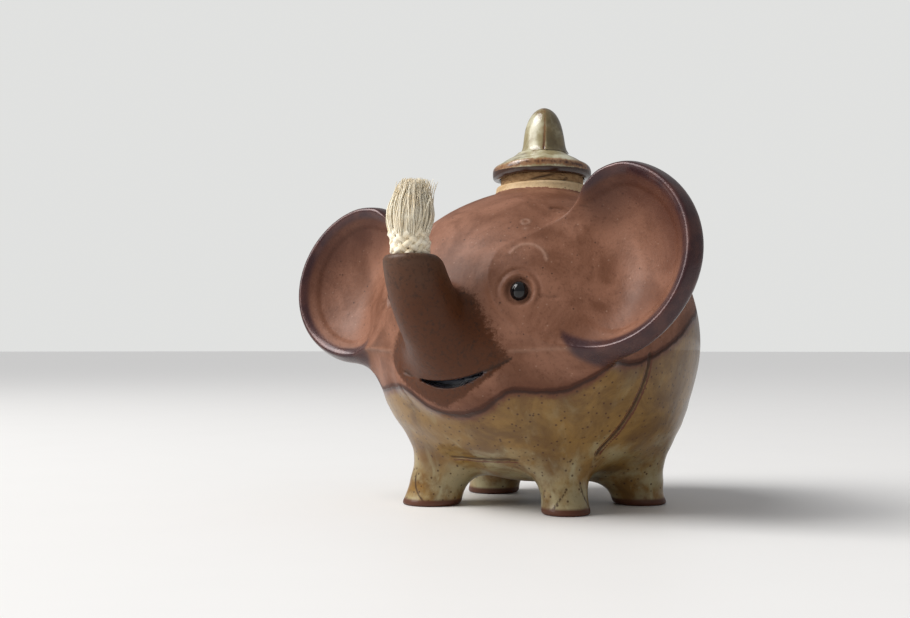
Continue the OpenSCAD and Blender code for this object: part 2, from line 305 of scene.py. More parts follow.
def hand_marks(p):
    """The slow unevenness that throwing and smoothing by hand leave."""
    a = np.sin(p[:, 0] * 0.11 + 0.7) * np.sin(p[:, 1] * 0.09 + 1.9)
    b = np.sin(p[:, 2] * 0.13 + p[:, 0] * 0.05) * np.sin(p[:, 1] * 0.12 - p[:, 2] * 0.04 + 0.4)
    rings = np.sin(p[:, 2] * 1.05 + 0.03 * p[:, 0]) * step_up(42 - p[:, 2], 0, 12)
    fuller = 1.1 * np.exp(-((turn_of(p) + 52) / 26) ** 2 - ((p[:, 2] - 27) / 11) ** 2)
    fuller += 4.2 * np.exp(-((np.abs(turn_of(p)) - 122) / 46) ** 2 - ((p[:, 2] - 20) / 12) ** 2)
    return 0.28 * a + 0.22 * b + 0.05 * rings + fuller


def on_skin(p, turn, height):
    """Sideways and upward distance along the skin from a point on it."""
    here, above, below = (float(skin_r(np.array(float(height) + k))) for k in (0, 0.5, -0.5))
    slope = float(np.sqrt(1 + (above - below) ** 2))
    return np.radians(turn_of(p) - turn) * here, (p[:, 2] - height) * slope


def ridge(x, width):
    """1 along a line, fading to 0 within about a width of it."""
    return np.exp(-(x / width) ** 2)


def eye_folds(p):
    """The sunk socket, the lid round it, and the fainter fold outside the lid."""
    raised = np.zeros(len(p))
    for sign in (1, -1):
        a, b = on_skin(p, sign * EYE_TURN, EYE_Z)
        a = a * sign
        r = np.hypot(a, b * 0.92)
        above = 0.5 + 0.5 * np.sin(np.arctan2(b + 0.3 * a, np.abs(a) + 0.01))
        near = step_up(9 - r, 0, 3)
        raised += near * (-0.9 * step_up(4.3 - r, 0, 1.3)
                          + (0.06 + 0.36 * above) * ridge(r - 4.8, 0.7)
                          - 0.25 * above * ridge(r - 6.1, 0.55))
        crease = np.abs(b + 1.4 - 0.04 * (a - 6) ** 2 + 0.3 * (a - 6))
        raised -= 0.35 * ridge(crease, 0.55) * step_up(a, 5.2, 6.4) * step_up(12.5 - a, 0, 3)
    return raised


def face_marks(p):
    """Thin raised marks over each eye: the brow, and a small ring with a dot below it."""
    raised = np.zeros(len(p))
    for sign in (1, -1):
        a, b = on_skin(p, sign * BROW[0], BROW[1])
        a = a * sign
        arc = np.abs(np.hypot(a, b) - BROW[2])
        raised += 0.22 * ridge(arc, 0.5) * step_up(b + 0.25 * a, 0.2, 1.6)
        a, b = on_skin(p, sign * ROUND_MARK[0], ROUND_MARK[1])
        raised += 0.2 * ridge(np.hypot(a, b) - ROUND_MARK[2], 0.45)
        raised += 0.12 * ridge(np.hypot(a - 0.2, b + 3.2), 0.8)
    return raised


def seam_mark(p):
    """The ridge of the luted seam, where it shows on the cheeks."""
    turn = np.abs(turn_of(p))
    z = p[:, 2] - SEAM_Z - 0.25 * np.sin(turn * 0.2) - 0.9 * step_up(turn, 44, 54)
    return ridge(z, 0.55) * step_up(turn, 22.5, 25) * step_up(60 - turn, 0, 4)


def shoulder_line(p):
    """Distance from the line scored down each side, from behind the ear to the front leg."""
    t = np.clip((p[:, 2] - SHOULDER_LOW) / SHOULDER_RISE, 0, 1.2)
    turn = SHOULDER_TURN + 9.5 * (1 - (1 - np.minimum(t, 1)) ** 2)
    off = np.radians(np.abs(turn_of(p)) - turn) * skin_r(p[:, 2])
    length = step_up(p[:, 2], 15, 19) * step_up(49 - p[:, 2], 0, 2)
    return off, length


def belly_line(p):
    """Distance from the line scored across the belly's front, and where it runs."""
    turn = np.abs(turn_of(p) - 1)
    return p[:, 2] - BELLY_LINE_Z + 0.1 * np.sin(turn * 0.3), step_up(25 - turn, 0, 5)


def toe_lines(p):
    """Two thin creases on each foot, drawn only as painted shade: 1 along their middles."""
    dark = np.zeros(len(p))
    for x, y, sole in FEET.values():
        a = p[:, 0] - x
        b = p[:, 1] - y
        out = math.degrees(math.atan2(x, y))
        around = wrapped(np.degrees(np.arctan2(a, b)) - out)
        near = step_up(sole + 4.5 - np.hypot(a, b), 0, 2) * step_up(p[:, 2], 0.8, 2.0)
        for place, top, swing in ((-58, 12, 3.4), (38, 9.5, -4.2)):
            bow = place + swing * (p[:, 2] - 4) + 6 * np.sin(p[:, 2] * 0.5 + place)
            off = np.radians(around - bow) * sole
            dark += near * ridge(off, 0.7) * step_up(top - p[:, 2], 0, 3)
    return dark


def mouth_places(p):
    """Height off the middle of the open mouth, and half the mouth's height there."""
    half = 1.1 * np.clip(1 - ((turn_of(p) - MOUTH_TURN) / 13) ** 2, 0, 1)
    return np.abs(p[:, 2] - (smile(p) - 0.2 - half)), half


def mouth_line(p, width):
    """The mouth's upper line, which runs on past the open part."""
    across = np.abs(turn_of(p) - MOUTH_TURN)
    return ridge(p[:, 2] - smile(p) + 0.2, width) * step_up(22 - across, 0, 3)


def ear_crease(p):
    """The small hooked crease where the top of each ear runs into the dome."""
    turn = np.abs(turn_of(p))
    z = 90.4 - 0.012 * (turn - 44) ** 2
    return ridge(p[:, 2] - z, 0.6) * step_up(turn, 39, 42) * step_up(56 - turn, 0, 4)


def skin(p):
    """Distance from the lamp's clay skin, outside positive."""
    shell = body(p)
    d = shell
    for name, part in clay_parts(p).items():
        d = smooth_union(d, part, BLENDS[name])
    near_skin = step_up(3.5 - np.abs(shell), 0, 2.0)
    ahead = step_up(-p[:, 1], 0, 6)
    marks = eye_folds(p) + face_marks(p) * 0.8 - 0.45 * ear_crease(p)
    marks += 0.28 * seam_mark(p)
    marks -= 0.4 * mouth_line(p, 0.7)
    for (off, length), depth, width in ((shoulder_line(p), 0.5, 0.6), (belly_line(p), 0.4, 0.55)):
        marks -= depth * ridge(off, width) * length
    d = d - hand_marks(p) * step_up(p[:, 2], 0, 8) - marks * near_skin * ahead
    off, half = mouth_places(p)
    lens = np.maximum((off - half) * 0.8, -0.75 - shell)
    lens += 3 * step_up(np.abs(turn_of(p) - MOUTH_TURN), 11, 14)
    d = np.where(p[:, 1] < 0, smooth_cut(d, -lens, 0.5), d)
    turn, wick = bend_places(p)
    bore = np.maximum(wick - BORE_R, np.radians(32 - turn) * BEND_R)
    d = smooth_cut(d, -bore, 0.5)
    filler = np.hypot(p[:, 0], p[:, 1] - FILLER_Y) - COLLAR_BORE_R
    return smooth_cut(d, -np.maximum(filler, 88 - p[:, 2]), 0.5)


# ---- from the clay's shape to a mesh -----------------------------------------------------

# Side of a grid cell, cells along a block that is skipped or worked out whole, and the grid's corner.
GRAIN = 0.62
BLOCK = 8
LOW = np.array((-76.0, -76.0, -1.5))
CELLS = np.array((30, 27, 21)) * BLOCK + 1


def in_batches(field, points, batch=400000):
    """Works a field out for many points without holding them all at once."""
    return np.concatenate([field(points[i:i + batch]) for i in range(0, len(points), batch)])


def sampled_field(field):
    """The field on a fine grid, worked out only near the surface."""
    blocks = (CELLS - 1) // BLOCK
    ids = np.stack(np.meshgrid(*[np.arange(n) for n in blocks], indexing="ij"), -1).reshape(-1, 3)
    rough = in_batches(field, LOW + (ids + 0.5) * BLOCK * GRAIN)
    values = np.ones(CELLS, np.float32)
    coarse = rough.reshape(blocks)
    for axis in range(3):
        coarse = np.repeat(coarse, BLOCK, axis)
    values[:-1, :-1, :-1] = np.sign(coarse) * 9
    near = ids[np.abs(rough) < BLOCK * GRAIN * 1.35]
    inner = np.stack(np.meshgrid(*[np.arange(BLOCK)] * 3, indexing="ij"), -1).reshape(-1, 3)
    cells = (near[:, None, :] * BLOCK + inner[None]).reshape(-1, 3)
    values[tuple(cells.T)] = in_batches(field, LOW + cells * GRAIN)
    return values


def net_faces(inside, number):
    """One quad round every grid edge that crosses the surface, turned to face outwards."""
    found = []
    orders = {0: ((0, -1, -1), (0, 0, -1), (0, 0, 0), (0, -1, 0)),
              1: ((-1, 0, -1), (-1, 0, 0), (0, 0, 0), (0, 0, -1)),
              2: ((-1, -1, 0), (0, -1, 0), (0, 0, 0), (-1, 0, 0))}
    for axis, order in orders.items():
        first = np.take(inside, range(inside.shape[axis] - 1), axis)
        second = np.take(inside, range(1, inside.shape[axis]), axis)
        at = np.argwhere(first != second)
        out = first[tuple(at.T)]
        quad = np.stack([number[tuple((at + np.array(step)).T)] for step in order], 1)
        quad[~out] = quad[~out][:, ::-1]
        found.append(quad)
    return np.concatenate(found)


def slopes(field, p, reach=0.04):
    """How a field changes along each axis."""
    steps = np.eye(3) * reach
    return np.stack([field(p + step) - field(p - step) for step in steps], 1) / (2 * reach)


def settle(field, p, rounds=1):
    """Moves points onto the surface, and returns the outward direction at each."""
    for _ in range(rounds):
        g = slopes(field, p)
        size = np.maximum((g ** 2).sum(1), 0.05)
        p = p - (np.clip(field(p), -0.6, 0.6) / size)[:, None] * g
    return p, unit(g)


def eased(p, normals, edges, amount=0.5):
    """Slides points along the surface towards the middle of their neighbours."""
    total = np.zeros_like(p)
    count = np.bincount(edges.ravel(), minlength=len(p))
    for a, b in ((0, 1), (1, 0)):
        for axis in range(3):
            total[:, axis] += np.bincount(edges[:, a], p[edges[:, b], axis], len(p))
    move = total / np.maximum(count, 1)[:, None] - p
    move -= (move * normals).sum(1)[:, None] * normals
    return p + amount * move


def quad_sides(faces):
    """The four sides of every quad, each as the pair of points that it runs between."""
    return np.concatenate([faces[:, [i, (i + 1) % 4]] for i in range(4)])


def edges_of(faces):
    """Every edge once, whichever way it runs."""
    return np.unique(np.sort(quad_sides(faces), 1), axis=0)


def meshed(field):
    """An even mesh of the field's surface: its points, outward directions and quads."""
    values = sampled_field(field)
    inside = values < 0
    corners = [inside[i:inside.shape[0] - 1 + i, j:inside.shape[1] - 1 + j,
                      k:inside.shape[2] - 1 + k] for i in (0, 1) for j in (0, 1) for k in (0, 1)]
    count = sum(c.astype(np.int8) for c in corners)
    cells = np.argwhere((count > 0) & (count < 8))
    number = np.full(count.shape, -1)
    number[tuple(cells.T)] = np.arange(len(cells))
    quads = net_faces(inside, number)
    p = LOW + (cells + 0.5) * GRAIN
    edges = edges_of(quads)
    p, normals = settle(field, p, 2)
    for _ in range(3):
        p = eased(p, normals, edges)
        p, normals = settle(field, p)
    p, normals = settle(field, p)
    return p, normals, quads


# ---- parting the skin into its pieces ----------------------------------------------------

def clay_names(middle):
    """Which piece of clay each face of the skin belongs to."""
    parts = clay_parts(middle)
    fields = [body(middle)] + list(parts.values())
    names = ["shell"] + list(parts)
    nearest = np.argmin(np.stack(fields), axis=0)
    upper = middle[:, 2] > SEAM_Z
    labels = np.array(names, dtype=object)[nearest]
    labels[(labels == "shell") & upper] = "upper"
    labels[(labels == "shell")] = "lower"
    turn, wick = bend_places(middle)
    labels[(wick < BORE_R - 0.4) & (np.abs(turn) < 34)] = "hidden"
    filler = np.hypot(middle[:, 0], middle[:, 1] - FILLER_Y)
    labels[(filler < COLLAR_BORE_R - 0.4) & (middle[:, 2] < 89)] = "hidden"
    labels[(filler < COLLAR_BORE_R + 0.5) & (middle[:, 2] >= 88) & (labels != "hidden")] = "collar"
    return labels


def open_edges(faces):
    """Directed edges that have a face on one side only."""
    directed = quad_sides(faces)
    key = directed[:, 0].astype(np.int64) * (1 << 32) + directed[:, 1]
    back = directed[:, 1].astype(np.int64) * (1 << 32) + directed[:, 0]
    return directed[~np.isin(key, back)]


def walled(points, normals, inward, faces, thickness):
    """Closes a patch of skin with an inner wall and a strip along its edge. Returns the points, the
    faces, the shading direction at each corner, and the skin point that each point came from."""
    used, local = np.unique(faces, return_inverse=True)
    local = local.reshape(-1, 4)
    outer = points[used]
    out = normals[used]
    inner = outer + inward[used] * thickness
    count = len(used)
    rim = open_edges(local)
    strip = np.stack([rim[:, 1], rim[:, 0], rim[:, 0] + count, rim[:, 1] + count], 1)
    every = np.concatenate([local, local[:, ::-1] + count, strip])
    verts = np.concatenate([outer, inner])
    corner_normals = np.concatenate([out[local], -out[local[:, ::-1]], np.zeros((len(strip), 4, 3))])
    a, b, c = verts[strip[:, 0]], verts[strip[:, 1]], verts[strip[:, 2]]
    corner_normals[len(local) * 2:] = unit(np.cross(b - a, c - a))[:, None, :]
    return verts, every, corner_normals, np.concatenate([used, used])


def to_frame(p):
    """From millimetres round the body's axis to metres in the shared frame."""
    return (p + np.array((0, AXIS_Y, 0))) * MM


def in_scene(name, data):
    """A new object that holds data, placed in the scene."""
    thing = bpy.data.objects.new(name, data)
    bpy.context.scene.collection.objects.link(thing)
    return thing


def set_marks(mesh, marks):
    """Stores one value for every point under each mark's name."""
    for mark, values in marks.items():
        store = mesh.attributes.new(mark, "FLOAT", "POINT").data
        store.foreach_set("value", values.astype(np.float32))


def shade_smooth(mesh):
    mesh.polygons.foreach_set("use_smooth", np.ones(len(mesh.polygons), bool))


def new_piece(name, verts, faces, normals=None, marks=None):
    """A smooth piece from points and quads, with shading directions and marks if it has them."""
    mesh = bpy.data.meshes.new(name)
    mesh.vertices.add(len(verts))
    mesh.vertices.foreach_set("co", verts.astype(np.float32).ravel())
    mesh.loops.add(faces.size)
    mesh.loops.foreach_set("vertex_index", faces.astype(np.int32).ravel())
    mesh.polygons.add(len(faces))
    mesh.polygons.foreach_set("loop_start", np.arange(len(faces), dtype=np.int32) * faces.shape[1])
    mesh.update(calc_edges=True)
    mesh.validate()
    shade_smooth(mesh)
    set_marks(mesh, marks or {})
    if normals is not None:
        mesh.normals_split_custom_set(normals.reshape(-1, 3).astype(np.float32).tolist())
    return in_scene(name, mesh)


def glaze_height(p):
    """Height above the glaze's edge, measured square to it."""
    turns, heights = np.array(GLAZE_EDGE, float).T
    turn = turn_of(p)

    def edge(t):
        shift = np.linspace(-2.2, 2.2, 5)
        return sum(np.interp(wrapped(t + s), turns, heights) for s in shift) / len(shift)

    rise = (edge(turn + 0.5) - edge(turn - 0.5)) / (np.radians(1) * BODY_R)
    return (p[:, 2] - edge(turn)) / np.sqrt(1 + rise ** 2)


def ear_marks(p):
    """Where the plum slip lies on the ears' rims, and the painted shade inside the cups: darker towards the
    rim, where the slip also lies thicker, and darker towards their tops.
    """
    rim = np.zeros(len(p))
    shade = np.zeros(len(p))
    for place in EARS.values():
        r, ahead, inward = ear_places(p, *place)
        past = r - (place[1] / 2 - EAR_RIM_R) + 0.7 + 0.3 * (ahead - 1.0)
        close = step_up(2.2 - ear_rim(p, *place), 0, 1.2)
        band = step_up(past, -1.4, 0.6) * step_up(ahead, -7.5, -4.0)
        rim = np.maximum(rim, close * band * step_up(0.62 - inward, 0, 0.4))
        # Painted shade in each cup: deepest near the rim and high up, on the side towards the face.
        near_rim = step_up(r - place[1] / 2 + EAR_RIM_R, -21, 0) * step_up(p[:, 2] - place[2], -26, 14)
        face_side = step_up(0.8 - inward, 0, 0.7) * step_up(-3.2 - p[:, 1], 0, 6)
        shade = np.maximum(shade, near_rim * face_side)
    return rim, shade


def snout_mark(p, shell):
    """Where the dark slip of the trunk lies, and how it runs out on the cheeks."""
    snout = step_up(shell, 0.2, 3.2) * step_up(3.5 - np.abs(trunk(p)), 0, 2)
    cheek = 27 - np.abs(turn_of(p)) - 0.62 * np.maximum(p[:, 2] - 44, 0)
    cheek = cheek - 3 * np.maximum(smile(p) - p[:, 2], 0)
    return np.maximum(snout, step_up(cheek, -4, 7) * (p[:, 1] < 0) * step_up(70 - p[:, 2], 0, 8))


def scored_lines(p, on_shell):
    """Every line cut or creased in the clay, for the painted shade that darkens it."""
    lines = np.clip(toe_lines(p), 0, 1) * 0.9
    off, length = shoulder_line(p)
    lines = np.maximum(lines, ridge(off, 0.75) * length)
    off, length = belly_line(p)
    lines = np.maximum(lines, 0.8 * ridge(off, 0.6) * length)
    lines = np.maximum(lines, 0.5 * ear_crease(p))
    return np.maximum(lines, mouth_line(p, 0.6) * on_shell)


def finish_marks(p):
    """Where each finish lies, for the materials: one value for every point of the skin."""
    shell = body(p)
    on_shell = step_up(3 - np.abs(shell), 0, 1)
    ahead = step_up(-p[:, 1], 0, 6)
    rim, shade = ear_marks(p)
    off, half = mouth_places(p)
    mouth = step_up(half + 0.3 - off, 0, 0.4) * step_up(half, 0, 0.3) * on_shell * (p[:, 1] < -30)
    # Paler along the raised brow and ring marks, and a painted highlight along the seam's ridge.
    pale = np.clip(face_marks(p) * 3.5, 0, 1) + 0.45 * seam_mark(p)
    # Painted shade in the sunk socket and the folds round each eye.
    socket_shade = np.clip(-eye_folds(p), 0, 1) * step_up(2 - np.abs(shell), 0, 1)
    return {"above_glaze": glaze_height(p), "rim_slip": rim, "dark_slip": snout_mark(p, shell),
            "scored": scored_lines(p, on_shell) * ahead, "mouth": mouth, "ear_shade": shade,
            "pale_mark": np.clip(pale, 0, 1) * ahead, "socket": socket_shade * ahead}


def wear_of(p, normals, edges):
    """How sharply the skin bulges at each point: edges stand above 0, hollows below."""
    a, b = edges.T
    along = p[a] - p[b]
    each = (along * (normals[a] - normals[b])).sum(1) / np.maximum((along ** 2).sum(1), 1e-6)
    total = np.bincount(a, each, len(p)) + np.bincount(b, each, len(p))
    return total / np.maximum(np.bincount(edges.ravel(), minlength=len(p)), 1)


# Each piece's name, the CAD node that it stands in for, its material slot and its wall.
CLAY_PIECES = {
    "upper": ("thrown_dome", "upper_shell", "brown_clay", WALL),
    "lower": ("thrown_belly", "lower_shell", "green_glaze", WALL),
    "collar": ("filler_collar", "neck_collar", "buff_rim", 0.6),
    "trunk": ("curved_trunk", "trunk", "dark_clay", 1.2),
    "lip": ("lip_roll", "lower_lip", "brown_clay", 1.2),
    "ear_left": ("cupped_ear_left", "ear_left", "brown_clay", 1.4),
    "ear_right": ("cupped_ear_right", "ear_right", "brown_clay", 1.4),
    "leg_front_left": ("stub_leg_front_left", "leg_front_left", "green_glaze", 2.0),
    "leg_front_right": ("stub_leg_front_right", "leg_front_right", "green_glaze", 2.0),
    "leg_rear_left": ("stub_leg_rear_left", "leg_rear_left", "green_glaze", 2.0),
    "leg_rear_right": ("stub_leg_rear_right", "leg_rear_right", "green_glaze", 2.0),
    "tail": ("rolled_tail", "tail", "green_glaze", 1.0)}


def dress(piece, material, body_name, slot_name, *nodes):
    """Gives a piece its material, its body and the CAD nodes that it stands in for. Its slot name is not
    used.
    """
    piece.data.materials.append(material)
    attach(piece, body_name)
    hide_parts(*nodes)
    return piece


def make_clay(materials):
    """Meshes the clay skin once and parts it. The shells' inner walls follow the plain body."""
    points, normals, faces = meshed(skin)
    plain_in = unit(-slopes(body, points))
    marks = finish_marks(points)
    marks["bulge"] = wear_of(points, normals, edges_of(faces))
    labels = clay_names(points[faces].mean(1))
    for key, (name, node, slot_name, thickness) in CLAY_PIECES.items():
        part = faces[labels == key]
        inward = plain_in if key in ("upper", "lower", "lip") else -normals
        verts, every, corners, used = walled(points, normals, inward, part, thickness)
        values = {mark: value[used] for mark, value in marks.items()}
        piece = new_piece(name, to_frame(verts), every, corners, values)
        dress(piece, materials[slot_name], "elephant", slot_name, node)


# ---- materials ---------------------------------------------------------------------------

def socket_of(node, key):
    """A node's input by its name, or by its number where the key is i0, i1 and so on."""
    return node.inputs[int(key[1:])] if key[1:].isdigit() else node.inputs[key.replace("_", " ")]


class Nodes:
    """A short way to lay out shader nodes: every call adds one node and returns its output."""

    def __init__(self, tree):
        self.tree = tree

    def add(self, kind, output=0, settings=None, **inputs):
        node = self.tree.nodes.new(kind)
        for name, value in (settings or {}).items():
            setattr(node, name, value)
        for name, value in inputs.items():
            self.feed(socket_of(node, name), value)
        return node.outputs[output]

    def feed(self, socket, value):
        if isinstance(value, bpy.types.NodeSocket):
            self.tree.links.new(value, socket)
        else:
            socket.default_value = value

    def math(self, kind, a, b=0.0):
        return self.add("ShaderNodeMath", 0, {"operation": kind}, i0=a, i1=b)

    def mul(self, a, b):
        return self.math("MULTIPLY", a, b)

    def plus(self, a, b):
        return self.math("ADD", a, b)

    def blend(self, amount, a, b):
        """Colour a where amount is 0 and colour b where it is 1."""
        return self.add("ShaderNodeMix", 2, {"data_type": "RGBA"}, i0=amount, i6=a, i7=b)

    def mix(self, amount, a, b):
        return self.add("ShaderNodeMix", 0, i0=amount, i2=a, i3=b)

    def rise(self, value, low, high, start=0.0, end=1.0):
        """Eases from start to end as value goes from low to high."""
        return self.add("ShaderNodeMapRange", 0, {"interpolation_type": "SMOOTHSTEP"}, Value=value,
                        From_Min=low, From_Max=high, To_Min=start, To_Max=end)

    def place(self, scale=(1, 1, 1)):
        coords = self.add("ShaderNodeTexCoord", "Object")
        if scale == (1, 1, 1):
            return coords
        return self.add("ShaderNodeMapping", Vector=coords, Scale=scale)

    def grain(self, size_mm, detail=3.0, rough=0.5, vector=None, bend=0.0):
        """Soft noise whose features are about size_mm across."""
        return self.add("ShaderNodeTexNoise", "Fac", Vector=vector or self.place(),
                        Scale=1 / (size_mm * MM), Detail=detail, Roughness=rough, Distortion=bend)

    def patches(self, low, high, *kind, **more):
        """Patches of noise: 0 where it is below low and 1 where it is above high."""
        return self.rise(self.grain(*kind, **more), low, high)

    def waver(self, amount, *kind):
        """Noise about 0, over that amount from its lowest to its highest."""
        return self.mul(self.plus(self.grain(*kind), -0.5), amount)

    def height(self):
        return self.add("ShaderNodeSeparateXYZ", "Z", Vector=self.place())

    def specks(self, size_mm, share):
        """Small round specks: 1 in their middles, over about that share of the surface."""
        gap = self.add("ShaderNodeTexVoronoi", "Distance", Vector=self.place(),
                       Scale=1 / (size_mm * MM), Randomness=1.0)
        return self.rise(gap, share * 0.45, share, 1.0, 0.0)

    def mark(self, name):
        return self.add("ShaderNodeAttribute", "Fac", {"attribute_name": name})


def colour(r, g, b):
    return (r, g, b, 1.0)


SOCKET_KINDS = {int: "NodeSocketInt", float: "NodeSocketFloat", tuple: "NodeSocketColor",
                type(None): "NodeSocketMaterial"}


def add_inputs(tree, sizes):
    """Named inputs for a node tree, each of the kind that its usual value needs."""
    for label, value in sizes.items():
        socket = tree.interface.new_socket(label.replace("_", " "), in_out="INPUT",
                                           socket_type=SOCKET_KINDS[type(value)])
        if value is not None:
            socket.default_value = value


def new_group(name, **sizes):
    """An empty shader node group that gives a colour, a roughness and a height."""
    tree = bpy.data.node_groups.new(name, "ShaderNodeTree")
    add_inputs(tree, sizes)
    for label, kind in (("Color", tuple), ("Roughness", float), ("Height", float)):
        tree.interface.new_socket(label, in_out="OUTPUT", socket_type=SOCKET_KINDS[kind])
    start = tree.nodes.new("NodeGroupInput")
    end = tree.nodes.new("NodeGroupOutput")
    return tree, Nodes(tree), start.outputs, end.inputs


def slip_group():
    """Reddish-brown slip: clouded, speckled dark, with a few pale grains."""
    tree, n, given, out = new_group("brown_slip", Light=colour(0.3, 0.155, 0.11),
                                    Dark=colour(0.19, 0.085, 0.052), Speckle=0.5)
    cloud = n.patches(0.36, 0.68, 17, 5, 0.62, bend=0.6)
    tone = n.blend(cloud, given["Light"], given["Dark"])
    fine = n.patches(0.5, 0.72, 1.1, 4, 0.7)
    tone = n.blend(n.mul(fine, n.mul(given["Speckle"], 0.75)), tone, colour(0.075, 0.026, 0.012))
    pale = n.specks(2.6, 0.13)
    tone = n.blend(n.mul(pale, 0.2), tone, colour(0.52, 0.36, 0.27))
    out_tone = n.blend(n.mul(n.specks(3.4, 0.11), 0.7), tone, colour(0.03, 0.012, 0.007))
    n.feed(out["Color"], out_tone)
    n.feed(out["Roughness"], n.mix(n.grain(6, 3), 0.4, 0.62))
    n.feed(out["Height"], n.plus(n.mul(n.grain(0.7, 3, 0.6), 0.6), n.mul(n.grain(4.5, 3), 0.8)))
    return tree


def glaze_group():
    """Olive and ochre glaze: streaked grey-green where it ran thick, rust where it is thin."""
    tree, n, given, out = new_group("ash_glaze", Thin=0.0, Green=0.5)
    runs = n.grain(7, 4, 0.6, n.place((1, 1, 0.33)), 0.8)
    cloud = n.grain(13, 5, 0.65, bend=0.5)
    tone = n.blend(n.rise(cloud, 0.38, 0.64), colour(0.235, 0.128, 0.03), colour(0.135, 0.066, 0.015))
    streak = n.mul(n.rise(runs, 0.5, 0.74), given["Green"])
    tone = n.blend(n.mul(streak, 0.75), tone, colour(0.36, 0.33, 0.2))
    pale = n.mul(n.patches(0.4, 0.62, 10, 4, 0.6), n.rise(given["Green"], 0.5, 1.0))
    tone = n.blend(n.mul(pale, 0.6), tone, colour(0.4, 0.36, 0.21))
    rust = n.rise(n.plus(given["Thin"], n.mul(n.grain(2.4, 4, 0.7), 0.5)), 0.42, 0.95)
    tone = n.blend(rust, tone, colour(0.11, 0.032, 0.010))
    tone = n.blend(n.mul(n.specks(2.0, 0.24), 0.85), tone, colour(0.05, 0.017, 0.006))
    tone = n.blend(n.mul(n.patches(0.55, 0.75, 0.9, 4, 0.75), 0.45), tone, colour(0.08, 0.036, 0.014))
    n.feed(out["Color"], tone)
    n.feed(out["Roughness"], n.mix(n.grain(3, 3), 0.26, 0.42))
    n.feed(out["Height"], n.plus(n.mul(n.grain(2.2, 3, 0.55), 0.5), n.mul(n.grain(9, 2), 1.2)))
    return tree


def new_material(name):
    """A new material, a layout for its nodes, and the inputs of its shader."""
    material = bpy.data.materials.new(name)
    material.use_nodes = True
    shader = material.node_tree.nodes["Principled BSDF"]
    return material, Nodes(material.node_tree), shader.inputs


def grouped(n, group, **inputs):
    """Places a shader node group and returns its outputs."""
    node = n.tree.nodes.new("ShaderNodeGroup")
    node.node_tree = group
    for name, value in inputs.items():
        n.feed(node.inputs[name.replace("_", " ")], value)
    return node.outputs


def bump(n, sockets, height, depth_mm, strength=1.0):
    """Small relief under a material's colour, from a height pattern."""
    normal = n.add("ShaderNodeBump", "Normal", Height=height, Distance=depth_mm * MM, Strength=strength)
    n.feed(sockets["Normal"], normal)


